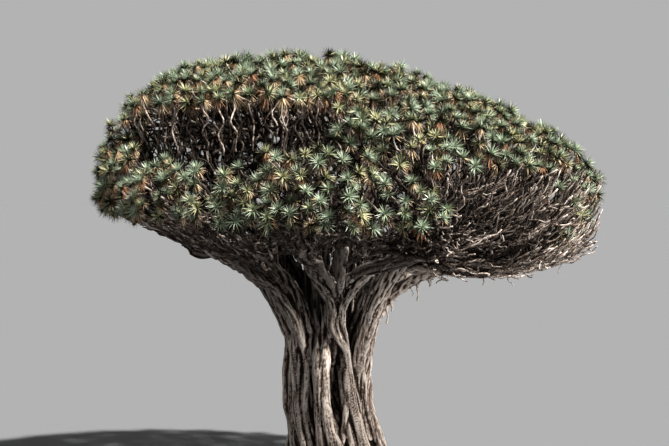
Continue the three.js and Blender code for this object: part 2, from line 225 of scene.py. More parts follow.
# Light and dark: how far a point lies under the dome and in from its rim, from 0 at the shell to 1 inside
shading = {"light": 0.3, "dark": 1.25, "openToSun": 0.25, "sunAzimuth": 330}


def insideShade(points):
    # smooth step of min(depth below the dome, 1.3 * distance in from the rim), less on the open sunny side
    azimuth = np.arctan2(points[:, 1], points[:, 0])
    out = np.hypot(points[:, 0], points[:, 1])
    below = domeHeight(out, azimuth) - points[:, 2]
    inward = 1.3 * np.maximum(0, shellMeasures(azimuth, True)[1] - out)
    sunny = np.clip(np.cos(azimuth - math.radians(shading["sunAzimuth"])), 0, 1)
    hidden = np.minimum(below, inward * (1 - shading["openToSun"] * sunny))
    return smooth(hidden, shading["light"], shading["dark"])


def evenAngle(share, azimuth, steps=120):  # the polar angle up to which a share of the shell's area lies
    angles = crown["lowest"] * np.arange(steps + 1) / steps
    roundness, reach, rise = shellMeasures(azimuth, np.cos(angles) > 0)
    out = reach * np.sin(angles) ** (2 / roundness)
    height = rise * np.cos(angles)
    widths = 0.5 * (out[1:] + out[:-1])
    sums = np.concatenate([[0], np.cumsum(widths * np.hypot(np.diff(out), np.diff(height)))])
    return float(np.interp(share * sums[-1], sums, angles))


# Clumps: the shell swells and sinks, and the deepest hollows hold no rosettes
clumps = {"size": 0.22, "wave": 2.7, "emptyBelow": -0.86}


def lumps(point):  # a sum of sines in three directions, from -1 to 1
    x, y, z = (2 * math.pi / clumps["wave"]) * point
    first = math.sin(0.9 * x + 0.4 * y + 1.3 * z + 0.7) * math.sin(0.8 * y - 0.5 * x + 2.1)
    second = math.sin(1.9 * x - 1.1 * y + 0.6 * z) * math.sin(1.7 * y + 1.2 * x - 0.9 * z + 1.1)
    return 0.95 * first + 0.6 * second


def crownTips():  # a golden-angle spiral over the shell, shaken by the seeded stream
    stream = SeededNumbers(crown["seed"])
    golden = math.pi * (3 - math.sqrt(5))
    heart = np.array([0, 0, crown["heart"]])
    window, openSide, dip = gaps["window"], gaps["openSide"], gaps["dip"]
    tips, bare = [], []
    for i in range(crown["tips"]):
        shaken = (i + 0.5 + 14 * (stream.draw() - 0.5)) / crown["tips"]
        azimuth = i * golden + 0.05 * (stream.draw() - 0.5)
        angle = evenAngle(min(max(shaken, 0.0005), 0.9995), azimuth)
        share = crown["depth"] * stream.draw() ** 2
        tip = crownPoint(angle, azimuth) * (1 - share) + heart * share
        lump = lumps(tip)
        if lump < clumps["emptyBelow"]:
            continue
        tip = tip + clumps["size"] * (min(lump, 0.8) - 0.3) * unit(tip - heart)
        turned = math.degrees(azimuth) % 360
        low = window["low"] - dip["depth"] * math.exp(-(((turned - dip["azimuth"]) / dip["width"]) ** 2))
        if window["from"] < turned < window["to"] and low < tip[2] < window["high"]:
            continue
        tips.append(tip)
        onRim = turned > openSide["rimFrom"] and i % 2 == 0
        bare.append(openSide["from"] < turned < openSide["to"] and tip[2] < openSide["high"] and not onRim)
    return np.array(tips), np.array(bare)


# Twigs: a stem forks in two again and again until each twig serves one tip. Each has its ends, its
# headings there, its radius, the number of tips that it serves, and whether they are all bare
Segment = namedtuple("Segment", "start heading end endHeading radius tips bare")
twig = {
    "tipRadius": 0.043,
    "thickening": 0.4,  # radius grows with this power of the tips that it serves
    "forkShare": 0.9,
    "keepsCourse": 0.4,  # share of the parent's heading where a twig starts
    "lift": 0.25,  # how much a twig turns up towards its end
    "wiggle": 0.05,  # of its length
}


def halves(tips):  # the order of the tips along their longest direction, cut in the middle
    offsets = tips - tips.mean(axis=0)
    axis = np.array([0.6, 0.64, 0.48])
    for _ in range(8):
        axis = unit(offsets.T @ (offsets @ axis))
    order = np.argsort(offsets @ axis, kind="stable")
    half = (len(tips) + 1) // 2
    return order[:half], order[half:]


def growTwigs(start, heading, tips, bare, radius, grown, habit=twig):
    count = len(tips)
    share = 1 if count == 1 else habit["forkShare"] / (math.log2(count) + habit["forkShare"])
    end = start + share * (tips.mean(axis=0) - start)
    straight = unit(end - start)
    startHeading = unit(habit["keepsCourse"] * heading + (1 - habit["keepsCourse"]) * straight)
    endHeading = unit(straight + habit["lift"] * (3 if count == 1 else 1) * up)
    grown.append(Segment(start, startHeading, end, endHeading, radius, count, bool(bare.all())))
    if count > 1:
        for half in halves(tips):
            thin = radius * (len(half) / count) ** habit["thickening"]
            growTwigs(end, endHeading, tips[half], bare[half], thin, grown, habit)


def stemOf(limbName):  # where a mass's stem leaves its limb, just before the end, and how thick it may be
    curve, radius, taper = limbs[limbName]
    return curve[194], unit(curve[-1] - curve[-3]), 0.95 * radius * taper


def allTwigs():
    tips, bare = crownTips()
    middles = np.array([middle for _, _, middle in masses])
    nearest = np.argmin(np.linalg.norm(tips[:, None] - middles[None], axis=2), axis=1)
    grown = []
    for k, (_, limbName, _) in enumerate(masses):
        mine = nearest == k
        foot, heading, most = stemOf(limbName)
        radius = min(most, twig["tipRadius"] * mine.sum() ** twig["thickening"])
        growTwigs(foot, heading, tips[mine], bare[mine], radius, grown)
    return grown


grown = allTwigs()
print("twigs", len(grown))


def softened(points, count, width):  # a polyline with its corners averaged away
    spine = evenly(points, 240)
    before, after = (np.repeat(end, width, axis=0) for end in (spine[:1], spine[-1:]))
    padded = np.concatenate([before, spine, after])
    kernel = np.ones(2 * width + 1) / (2 * width + 1)
    return evenly(np.stack([np.convolve(padded[:, k], kernel, "valid") for k in range(3)], axis=1), count)


# Underside of the crown from the trunk's wall to the rim, as (way out, height), on the left and right
underside = {
    "left": ((1.42, 4.6), (1.43, 5.5), (1.58, 6.4), (1.72, 6.8), (2.05, 7.45), (2.45, 8.1),
             (3.4, 8.7), (4.7, 9.1), (5.8, 9.5), (7.0, 10.1), (8.2, 10.7), (9.2, 11.2)),
    "right": ((1.42, 4.6), (1.43, 5.5), (1.66, 6.4), (1.80, 6.8), (2.0, 7.45), (2.3, 8.05), (3.2, 8.5),
              (4.8, 8.4), (6.1, 8.25), (7.4, 8.35), (8.8, 8.8), (9.9, 9.6), (10.3, 10.5)),
    "spread": 5.0,  # metres to a radian and
    "length": 12.0,  # metres from the trunk to the rim, where it is laid flat
    # between these ways out the branches draw together to the main boughs' azimuths, and then part again
    "gather": (0.9, 2.6), "part": (3.6, 7.0), "pull": 0.6,
}
profiles = {side: softened(np.array([(out, 0, height) for out, height in underside[side]]), 200, 10)
            for side in ("left", "right")}


def rightness(azimuth):  # from 0 on the left and behind to 1 on the right
    return smooth(np.cos(azimuth), -0.1, 0.75)


def gathered(azimuth, way):  # drawn to the nearest of the main boughs
    places = np.radians([place["azimuth"] for place in outerBoughs])
    aside = turnFrom(azimuth[..., None], places)
    nearest = np.take_along_axis(aside, np.argmin(np.abs(aside), axis=-1)[..., None], axis=-1)[..., 0]
    share = smooth(way, *underside["gather"]) * (1 - smooth(way, *underside["part"]))
    share = share * smooth(-np.sin(azimuth), -0.5, 0.1)  # the far side stays closed
    return azimuth + underside["pull"] * share * nearest, share * np.abs(nearest)


def onUnderside(flat):
    # (azimuth * spread, way out, height above) to x, y, z: the profile of the side, turned round the trunk
    azimuth, offMiddle = gathered(flat[..., 0] / underside["spread"], flat[..., 1])
    at = np.clip(flat[..., 1] / underside["length"], 0, 1) * 199
    share = rightness(azimuth)
    out, height = ((1 - share) * np.interp(at, np.arange(200), profiles["left"][:, k])
                   + share * np.interp(at, np.arange(200), profiles["right"][:, k]) for k in (0, 2))
    fluted = trunkRadius(height, azimuth) - plainRadius(height) - 0.55 * cleftDepth(height, azimuth)
    out = out + fluted * (1 - smooth(height, 5.0, 6.8)) - 1.6 * offMiddle**2
    middle = trunk["lean"] * (1 - smooth(out, 2, 6))
    return np.stack([middle + out * np.cos(azimuth), out * np.sin(azimuth), height + flat[..., 2]], axis=-1)


# Limbs of the fork on the near side: spine, radius at its ends, azimuths where its ropes climb the
# trunk, and azimuths between which it carries the branches under the crown
foreLimbs = [
    {"spine": ((-0.35, -1.60, 6.2), (-0.19, -2.05, 7.5), (-1.0, -3.1, 8.75), (-1.55, -4.3, 9.9)),
     "from": 0.22, "to": 0.15, "feet": (296, 300, 304), "carries": (240, 268)},
    {"spine": ((-0.15, -1.65, 6.5), (-0.05, -2.15, 7.7), (0.07, -2.9, 8.5), (0.25, -3.8, 9.8)),
     "from": 0.13, "to": 0.10, "feet": (296,), "carries": (268, 286)},
    {"spine": ((-0.05, -1.65, 6.5), (0.12, -2.10, 7.6), (0.7, -2.8, 8.4), (1.5, -3.4, 9.2),
               (2.4, -3.9, 9.8), (2.9, -4.3, 10.6)),
     "from": 0.16, "to": 0.12, "feet": (301, 306), "carries": (286, 306)},
    {"spine": ((0.70, -0.80, 5.2), (0.93, -1.05, 6.3), (1.35, -1.65, 7.7), (1.9, -2.3, 8.75),
               (2.35, -2.9, 9.4), (3.6, -3.4, 10.0)),
     "from": 0.43, "to": 0.22, "feet": (318, 323, 328, 333, 338, 343), "carries": (306, 336)},
    {"spine": ((1.0, -0.5, 6.2), (1.6, -0.9, 7.5), (2.6, -1.2, 8.3), (3.4, -1.3, 8.65), (4.9, -1.6, 8.9)),
     "from": 0.22, "to": 0.13, "feet": (349, 356), "carries": (336, 354)},
    {"spine": ((-1.35, -1.15, 6.0), (-1.75, -1.5, 7.1), (-2.5, -2.1, 8.2), (-3.9, -3.3, 9.2)),
     "from": 0.26, "to": 0.16, "feet": (222, 229, 236), "carries": (0, 0)},
]


# Staves: bare branches that rise with the ropes of the trunk and run out under the crown, forking like
# twigs. They grow where the underside is laid flat, on the near side from the limbs of the fork
staves = {
    "perFlute": 5,
    "tips": 40, "tipsOpen": 72,  # that each serves, and on the near right, where the crown is bare
    "nearest": 0.20, "farthestOpen": 0.90,  # shares of the way out between which they lie
    "openFrom": 284, "openTo": 356,
    "leader": 3.8,  # metres before the first fork
    "onLimb": 0.72,  # how far along a limb of the fork they leave it
    "tipRadius": 0.025, "thickening": 0.45, "forkShare": 1.1, "keepsCourse": 0.55, "lift": 0.03,
    "above": 1.5, "aboveOpen": 3.8, "belowOpen": 0.1,  # how far their tips lie over and under the underside
    "wiggle": 0.06,
    "seed": 5,
}


def flatPlace(point):  # the place on the flat underside that onUnderside carries to a point
    middle = trunk["lean"] * (1 - smooth(np.hypot(point[0], point[1]), 2, 6))
    azimuth = math.atan2(point[1], point[0] - middle)
    out = math.hypot(point[0] - middle, point[1])
    share = rightness(azimuth)
    outs, heights = ((1 - share) * profiles["left"][:, k] + share * profiles["right"][:, k] for k in (0, 2))
    at = np.interp(out, outs, np.arange(200))
    way = at / 199 * underside["length"]
    loose = azimuth
    for _ in range(12):  # until gathered carries it to the azimuth
        loose = azimuth - (float(gathered(np.array(loose), np.array(way))[0]) - loose)
    return np.array([underside["spread"] * loose, way, point[2] - np.interp(at, np.arange(200), heights)])


def staveAzimuths():  # bundles of them on each flute, at the height where they leave the wall
    pitch = 2 * math.pi / trunk["flutes"]
    rng = np.random.default_rng(staves["seed"])
    drift = trunk["twist"] * underside["left"][0][1] / trunk["height"]
    places = []
    for flute in range(trunk["flutes"]):
        for k in range(staves["perFlute"]):
            offset = (k + 0.5) / staves["perFlute"] - 0.5 + rng.uniform(-0.05, 0.05)
            places.append((flute + 0.86 * offset) * pitch - drift)
    return places


def growStaves():
    rng = np.random.default_rng(staves["seed"] + 1)
    leaders, made = [], []
    width = 2 * math.pi / (trunk["flutes"] * staves["perFlute"])
    outwards = np.array([0, 1.0, 0])
    for azimuth in staveAzimuths():
        turned = math.degrees(azimuth) % 360
        isOpen = staves["openFrom"] < turned < staves["openTo"]
        carrying = [place for place in foreLimbs if place["carries"][0] <= turned < place["carries"][1]]
        count = staves["tipsOpen"] if isOpen else staves["tips"]
        across = underside["spread"] * (azimuth + width * rng.uniform(-0.9, 0.9, count))
        first = staves["leader"]
        farthest = staves["farthestOpen"] if isOpen else 1
        rim = underside["length"]
        way = first + (rim - first) * np.sqrt(rng.uniform(staves["nearest"], farthest, count))
        above = staves["above"] * rng.random(count) ** 1.2
        if isOpen:
            tallest = staves["aboveOpen"] + staves["belowOpen"]
            above = tallest * rng.random(count) ** 0.9 - staves["belowOpen"]
        above = above * smooth(way, first, first + (4.0 if isOpen else 2.0))
        above = above * (1 - (0.3 if isOpen else 0.75) * smooth(way, 0.82 * rim, rim))
        tips = np.stack([across, way, above], axis=1)
        radius = staves["tipRadius"] * count ** staves["thickening"]
        foot = np.array([underside["spread"] * azimuth, 0, 0])
        fork = foot + first * outwards
        leaders.append((azimuth, Segment(foot, outwards, fork, outwards, radius, count, True)))
        if carrying:
            spine = softened(np.array(carrying[0]["spine"]), 100, 14)
            fork = flatPlace(spine[int(100 * (staves["onLimb"] + rng.uniform(-0.12, 0.12)))])
            wholeTurn = 2 * math.pi * underside["spread"]
            fork[0] += wholeTurn * round((foot[0] - fork[0]) / wholeTurn)
        for half in halves(tips):
            thin = radius * 0.5 ** staves["thickening"]
            growTwigs(fork, outwards, tips[half], np.ones(len(half), bool), thin, made, staves)
    return leaders, made


staveFeet, staveTwigs = growStaves()


# Thicket: shaded twigs inside the crown
thicket = {
    "count": 3300, "farShare": 0.30,
    "backShare": 0.19,  # of them lie behind the fork, between these parts of half a turn,
    "backAzimuth": (0.28, 0.68), "backReach": (0.3, 3.2), "backHeight": (8.7, 10.3),  # reaches and heights
    "radius": 0.062, "lowReach": 0.5, "highReach": 8.3, "low": 9.4, "under": 0.8,
    "seed": 6,
}


def thicketTips():
    rng = np.random.default_rng(thicket["seed"])
    azimuth = rng.uniform(0, 2 * np.pi, thicket["count"])
    # more of them on the far side, so that no sky shows through the window
    far = rng.random(thicket["count"]) < thicket["farShare"]
    azimuth = np.where(far, azimuth % np.pi, azimuth)
    reach = np.sqrt(rng.uniform(thicket["lowReach"] ** 2, thicket["highReach"] ** 2, thicket["count"]))
    low = thicket["low"] + 0.22 * np.maximum(0, reach - 3) * (1 - rightness(azimuth))
    ceiling = domeHeight(reach, azimuth) - thicket["under"]
    height = low + np.maximum(0.3, ceiling - low) * rng.random(thicket["count"])
    back = rng.random(thicket["count"]) < thicket["backShare"]
    azimuth = np.where(back, rng.uniform(*thicket["backAzimuth"], thicket["count"]) * np.pi, azimuth)
    reach = np.where(back, rng.uniform(*thicket["backReach"], thicket["count"]), reach)
    height = np.where(back, rng.uniform(*thicket["backHeight"], thicket["count"]), height)
    return np.stack([reach * np.cos(azimuth), reach * np.sin(azimuth), height], axis=1)


def growThicket():  # each tip goes to the nearest fork of the crown's own twigs
    forks = [segment for segment in grown if 6 <= segment.tips <= 60]
    starts = np.array([fork.end for fork in forks])
    tips = thicketTips()
    nearest = np.argmin(np.linalg.norm(tips[:, None] - starts[None], axis=2), axis=1)
    made = []
    for k in range(len(forks)):
        mine = nearest == k
        if mine.any():
            radius = min(0.14, thicket["radius"] * mine.sum() ** 0.42)
            bare = np.ones(mine.sum(), bool)
            growTwigs(starts[k], forks[k].endHeading, tips[mine], bare, radius, made)
    return made


# Stems: pale and winding, they hang in the openings from the rosettes above them down into the crown
stems = {
    "radius": 0.034, "wiggle": 0.07,
    "window": {"from": 188, "to": 282, "low": 14.7, "high": 15.85, "down": 2.0, "inward": 0.25},
    "openSide": {"from": 288, "to": 350, "low": 12.4, "high": 13.9, "down": 1.9, "inward": 1.3},
}


def growStems():
    made = []
    for place in ("window", "openSide"):
        looks = stems[place]
        for segment in grown:
            tip = segment.end
            turned = math.degrees(math.atan2(tip[1], tip[0])) % 360
            within = looks["from"] < turned < looks["to"] and looks["low"] < tip[2] < looks["high"]
            if segment.tips > 1 or not within:
                continue
            inwards = -unit(np.array([tip[0], tip[1], 0]))
            foot = tip + looks["inward"] * inwards - looks["down"] * up
            rising = unit(tip - foot + 0.6 * up)
            made.append(Segment(foot, unit(tip - foot), tip, rising, stems["radius"], 1, True))
    return made


thicketTwigs = growThicket()
stemTwigs = growStems()
print("staves", len(staveFeet), "and their twigs", len(staveTwigs))
print("thicket", len(thicketTwigs), "stems", len(stemTwigs))


# Meshes from arrays
def arrayMesh(name, vertices, triangles, smoothFaces):
    mesh = bpy.data.meshes.new(name)
    mesh.vertices.add(len(vertices))
    mesh.vertices.foreach_set("co", np.ascontiguousarray(vertices, dtype=np.float32).ravel())
    mesh.loops.add(3 * len(triangles))
    mesh.loops.foreach_set("vertex_index", np.ascontiguousarray(triangles, dtype=np.int32).ravel())
    mesh.polygons.add(len(triangles))
    mesh.polygons.foreach_set("loop_start", np.arange(0, 3 * len(triangles), 3, dtype=np.int32))
    mesh.polygons.foreach_set("use_smooth", np.full(len(triangles), smoothFaces))
    mesh.update(calc_edges=True)
    mesh.validate()
    return mesh


def addAttributes(mesh, attributes):
    for label, values in attributes.items():
        vectors = values.ndim == 2
        layer = mesh.attributes.new(label, "FLOAT_VECTOR" if vectors else "FLOAT", "POINT")
        flat = np.ascontiguousarray(values, dtype=np.float32).ravel()
        layer.data.foreach_set("vector" if vectors else "value", flat)


def finishPiece(name, mesh, material, replaced):
    piece = bpy.data.objects.new(name, mesh)
    bpy.context.scene.collection.objects.link(piece)
    piece.data.materials.append(material)
    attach(piece, "root")
    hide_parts(*replaced)
    print(name, len(mesh.polygons), "triangles")


def makePiece(name, vertices, triangles, material, replaced, attributes=None, smoothFaces=True):
    mesh = arrayMesh(name, vertices, triangles, smoothFaces)
    addAttributes(mesh, attributes or {})
    finishPiece(name, mesh, material, replaced)


def gridTriangles(rows, columns):  # a closed band: each ring joins the next, and round to its own start
    i, j = np.meshgrid(np.arange(rows - 1), np.arange(columns), indexing="ij")
    a = i * columns + j
    b = i * columns + (j + 1) % columns
    c = b + columns
    d = a + columns
    return np.stack([a, b, c, a, c, d], axis=-1).reshape(-1, 3)


def capTriangles(rows, columns):  # fans to one extra vertex at each end of the band
    j = np.arange(columns)
    after = (j + 1) % columns
    last = (rows - 1) * columns
    foot = np.stack([after, j, np.full(columns, rows * columns)], axis=1)
    head = np.stack([last + j, last + after, np.full(columns, rows * columns + 1)], axis=1)
    return np.concatenate([foot, head])


def tubes(paths, radii, sides, relief=None, shadeAt=insideShade):
    # circles carried along many paths at once: path point + radius * (cos * across + sin * over)
    count, rings = radii.shape
    tangents = unit(np.gradient(paths, axis=1))
    chord = unit(paths[:, -1] - paths[:, 0])
    helper = np.where(np.abs(chord[:, 2:3]) < 0.9, up, np.array([1.0, 0, 0]))
    reference = unit(np.cross(chord, helper))[:, None]
    across = unit(reference - (reference * tangents).sum(axis=2, keepdims=True) * tangents)
    over = np.cross(tangents, across)
    turn = 2 * np.pi * np.arange(sides) / sides
    circle = np.cos(turn)[:, None] * across[:, :, None] + np.sin(turn)[:, None] * over[:, :, None]
    along = np.concatenate([np.zeros((count, 1)),
                            np.cumsum(np.linalg.norm(np.diff(paths, axis=1), axis=2), axis=1)], axis=1)
    reach = radii[:, :, None] * np.ones(sides)
    swell = np.zeros_like(reach) if relief is None else relief(along, radii, turn)
    wall = paths[:, :, None] + (reach * (1 + swell))[..., None] * circle
    ends = np.stack([paths[:, 0] - 0.3 * radii[:, :1] * tangents[:, 0],
                     paths[:, -1] + 0.5 * radii[:, -1:] * tangents[:, -1]], axis=1)
    vertices = np.concatenate([wall.reshape(count, -1, 3), ends], axis=1)
    band = np.concatenate([gridTriangles(rings, sides), capTriangles(rings, sides)])
    triangles = band[None] + (np.arange(count) * vertices.shape[1])[:, None, None]
    # the grain lies along the tube: (r cos, r sin, distance), with a jump from tube to tube
    grain = np.stack([reach * np.cos(turn), reach * np.sin(turn), along[:, :, None] + 0 * reach], axis=-1)
    grain = grain.reshape(count, -1, 3)
    grain = np.concatenate([grain, grain[:, :1] * 0, grain[:, -1:]], axis=1)
    grain += (np.arange(count) * 3.7)[:, None, None]
    # the groove is the relief in metres, less its mean round the tube
    carved = reach * (swell - swell.mean(axis=2, keepdims=True))
    groove = np.concatenate([carved.reshape(count, -1), np.zeros((count, 2))], axis=1)
    vertices = vertices.reshape(-1, 3)
    looks = {"grain": grain.reshape(-1, 3), "groove": groove.ravel(), "shade": shadeAt(vertices)}
    return vertices, triangles.reshape(-1, 3), looks


def hermite(starts, startHeadings, ends, endHeadings, rings):  # cubic paths with their end headings
    t = np.linspace(0, 1, rings)[None, :, None]
    length = np.linalg.norm(ends - starts, axis=1)[:, None, None]
    a, b = starts[:, None], ends[:, None]
    return ((2 * t**3 - 3 * t**2 + 1) * a + (t**3 - 2 * t**2 + t) * length * startHeadings[:, None]
            + (3 * t**2 - 2 * t**3) * b + (t**3 - t**2) * length * endHeadings[:, None])


def twigPaths(segments, rings, rng, wiggle):  # the curves of many twigs, which wiggle between their ends
    starts = np.array([segment.start for segment in segments])
    headings = np.array([segment.heading for segment in segments])
    ends = np.array([segment.end for segment in segments])
    endHeadings = np.array([segment.endHeading for segment in segments])
    paths = hermite(starts, headings, ends, endHeadings, rings)
    count = len(segments)
    length = np.linalg.norm(ends - starts, axis=1)[:, None, None]
    t = np.linspace(0, 1, rings)[None, :, None]
    chord = unit(ends - starts)
    side = unit(np.cross(chord, rng.normal(size=(count, 3))))[:, None]
    other = np.cross(chord[:, None], side)
    wave = 2 * np.pi * t
    phase = rng.uniform(0, 2 * np.pi, (2, count, 1, 1))
    pitch = rng.uniform(0.8, 1.8, (2, count, 1, 1)) * np.maximum(1, length / 1.6)
    size = wiggle * np.minimum(length, 2.2) * np.sin(np.pi * t)
    swing = np.sin(pitch[0] * wave + phase[0]) * side + np.sin(pitch[1] * wave + phase[1]) * other
    return paths + size * swing


# Shader maths: a socket that takes the usual operators
class Field:
    def __init__(self, tree, socket):
        self.tree = tree
        self.socket = socket

    def math(self, operation, other=None, reflected=False):
        node = self.tree.nodes.new("ShaderNodeMath")
        node.operation = operation
        inputs = [self, other]
        if reflected:
            inputs.reverse()
        for slot, value in zip(node.inputs, inputs):
            if isinstance(value, Field):
                self.tree.links.new(value.socket, slot)
            elif value is not None:
                slot.default_value = value
        return Field(self.tree, node.outputs[0])

    def __add__(self, other):
        return self.math("ADD", other)

    def __radd__(self, other):
        return self.math("ADD", other)

    def __sub__(self, other):
        return self.math("SUBTRACT", other)

    def __rsub__(self, other):
        return self.math("SUBTRACT", other, True)

    def __mul__(self, other):
        return self.math("MULTIPLY", other)

    def __rmul__(self, other):
        return self.math("MULTIPLY", other)

    def clamp(self):
        return self.math("MAXIMUM", 0.0).math("MINIMUM", 1.0)


class Finish:  # a material that is built up node by node
    def __init__(self, name):
        self.material = bpy.data.materials.new(name)
        self.material.use_nodes = True
        self.tree = self.material.node_tree
        self.surface = self.tree.nodes["Principled BSDF"]

    def node(self, kind, settings=None, output=0, **sockets):
        node = self.tree.nodes.new(kind)
        for label, value in (settings or {}).items():
            if label == "stops":
                self.fillRamp(node, value)
            else:
                setattr(node, label, value)
        for label, value in sockets.items():
            # a socket goes by its name, or by an underscore and its number
            self.put(node.inputs[int(label[1:]) if label[1:].isdigit() else label], value)
        return Field(self.tree, node.outputs[output])

    def fillRamp(self, node, stops):
        elements = node.color_ramp.elements
        while len(elements) < len(stops):
            elements.new(0.5)
        for element, (position, colour) in zip(elements, stops):
            element.position = position
            element.color = (*colour, 1)

    def put(self, socket, value):
        if isinstance(value, Field):
            self.tree.links.new(value.socket, socket)
        else:
            socket.default_value = value

    def set(self, label, value):
        self.put(self.surface.inputs[label], value)

    def mix(self, share, first, second):  # two colours
        first, second = (value if isinstance(value, Field) else (*value, 1) for value in (first, second))
        return self.node("ShaderNodeMix", {"data_type": "RGBA"}, 2, _0=share, _6=first, _7=second)


# Bark: painted shade in its hollows and a painted highlight on its crests, and more painted shade deep inside
# the crown
# hollow and crest set how strong the painted shade in the hollows and the painted highlight on the crests are
barkLooks = {
    "trunkBark": {"scale": 6.0, "tone": 0.13, "hollow": 58.0, "crest": 22.0,
                  "ruddy": 0.5, "cracks": 0.9, "bump": 1.0},
    "twigBark": {"scale": 14.0, "tone": 0.30, "hollow": 0.0, "crest": 0.0,
                 "ruddy": 0.12, "cracks": 0.3, "bump": 0.4},
}
barkColours = {
    "black": (0.0050, 0.0032, 0.0020),
    "dark": (0.026, 0.017, 0.012),
    "brown": (0.118, 0.074, 0.053),
    "grey": (0.312, 0.240, 0.202),
    "pale": (0.750, 0.662, 0.592),
    "ruddy": (0.170, 0.090, 0.062),
}


def barkFinish(name):
    looks, colours = barkLooks[name], barkColours
    finish = Finish(name)
    grain = finish.node("ShaderNodeAttribute", {"attribute_name": "grain"}, output=1)
    groove = finish.node("ShaderNodeAttribute", {"attribute_name": "groove"}, output=2)
    shade = finish.node("ShaderNodeAttribute", {"attribute_name": "shade"}, output=2)
    scale = looks["scale"]
    fibres = finish.node("ShaderNodeMapping", Vector=grain, Scale=(scale, scale, 0.16 * scale))
    lines = finish.node("ShaderNodeTexNoise", Vector=fibres, Scale=1.0, Detail=5.0, Roughness=0.75)
    blotches = finish.node("ShaderNodeTexNoise", Vector=grain, Scale=0.9, Detail=4.0, Roughness=0.6)
    flakes = finish.node("ShaderNodeTexNoise", Vector=grain, Scale=8.0, Detail=5.0, Roughness=0.72)
    height = 0.5 * lines + 0.5 * flakes
    # crest marks the ridges of the relief; the tone below gives them a painted highlight
    crest = (looks["crest"] * groove).clamp()
    # shade below zero is painted light: it lifts the tone
    paler = (-1.0 * shade).clamp()
    tone = 6.4 * (height - 0.5) + 1.2 * (blotches - 0.5) + 0.65 * crest + 0.9 * paler
    tone = tone + (0.34 + looks["tone"])
    colour = finish.node("ShaderNodeValToRGB", {"stops": [
        (0.0, colours["dark"]), (0.26, colours["brown"]), (0.6, colours["grey"]), (1.0, colours["pale"])]},
        Fac=tone.clamp())
    redder = (looks["ruddy"] * (3.2 * (blotches - 0.5) + 0.15) * (1.0 - crest)).clamp()
    colour = finish.mix(redder, colour, colours["ruddy"])
    # cracks run along the grain where a stretched noise crosses its middle
    long = finish.node("ShaderNodeMapping", Vector=grain, Scale=(1.3 * scale, 1.3 * scale, 0.2 * scale))
    crossing = finish.node("ShaderNodeTexNoise", Vector=long, Scale=1.0, Detail=2.0, Roughness=0.5)
    crack = (1.0 - 16.0 * (crossing - 0.5).math("ABSOLUTE")).clamp()
    colour = finish.mix(looks["cracks"] * crack * (1.0 - 0.6 * crest), colour, colours["dark"])
    # painted shade in the hollows: where the groove falls below zero the colour goes towards black
    hollow = (-1.0 * looks["hollow"] * groove - 0.12).clamp()
    colour = finish.mix(0.94 * hollow, colour, colours["black"])
    # painted shade: the shade attribute mixes the colour towards black
    colour = finish.mix((0.96 * shade).clamp(), colour, colours["black"])
    finish.set("Base Color", colour)
    finish.set("Roughness", 0.9)
    finish.set("Specular IOR Level", 0.08)
    bump = finish.node("ShaderNodeBump", Strength=looks["bump"], Distance=0.045, Height=height)
    finish.set("Normal", bump)
    return finish.material


# Plain leaf colours, dealt out by rosette and by leaf; the near-black kind is now and then a rosette's own
# dark green, and painted shade on its lowest leaves
leafKinds = {
    "glaucous": {"colour": (0.300, 0.365, 0.260), "roughness": 0.36, "specular": 0.5},
    "green": {"colour": (0.105, 0.145, 0.085), "roughness": 0.38, "specular": 0.5},
    "fresh": {"colour": (0.450, 0.440, 0.250), "roughness": 0.38, "specular": 0.5},
    "deepAndShaded": {"colour": (0.013, 0.013, 0.006), "roughness": 0.6, "specular": 0.08},
    "straw": {"colour": (0.520, 0.385, 0.235), "roughness": 0.55, "specular": 0.3},
    "rust": {"colour": (0.320, 0.160, 0.082), "roughness": 0.65, "specular": 0.2},
    "dead": {"colour": (0.070, 0.045, 0.030), "roughness": 0.75, "specular": 0.1},
}


def leafFinish(kind):
    looks = leafKinds[kind]
    finish = Finish(f"leaf_{kind}")
    place = finish.node("ShaderNodeTexCoord", output=3)
    mottle = finish.node("ShaderNodeTexNoise", Vector=place, Scale=2.5, Detail=2.0)
    colour = looks["colour"]
    darker = tuple(0.72 * c for c in colour)
    lighter = tuple(min(1, 1.25 * c) for c in colour)
    finish.set("Base Color", finish.mix((2.2 * (mottle - 0.5) + 0.5).clamp(), darker, lighter))
    finish.set("Roughness", looks["roughness"])
    finish.set("Specular IOR Level", looks["specular"])
    return finish.material


# Trunk: ropes over the source's fluted column, on a grid of azimuth and height
ropes = {
    "count": 90,
    "columns": 360, "rows": 190,
    "sink": 0.23,  # the bark between the ropes lies this far inside the source's wall
    "cleft": 0.45,  # depth of the clefts between the flutes
    "top": 6.4, "domeFrom": 4.9, "inset": 1.0,  # the column under the ropes closes as a dome
    "seed": 11,
}
# Hollows in the near side: azimuth and half width in degrees, heights and depth
hollows = [
    {"azimuth": 284, "width": 9, "low": 3.0, "high": 6.9, "depth": 0.60},
    {"azimuth": 249, "width": 4, "low": 1.6, "high": 6.4, "depth": 0.35},
    {"azimuth": 311, "width": 6, "low": 4.8, "high": 7.2, "depth": 0.50},
    {"azimuth": 342, "width": 4, "low": 2.8, "high": 4.8, "depth": 0.35},
    {"azimuth": 226, "width": 5, "low": 3.6, "high": 7.2, "depth": 0.30},
    {"azimuth": 205, "width": 4, "low": 2.6, "high": 6.8, "depth": 0.25},
]
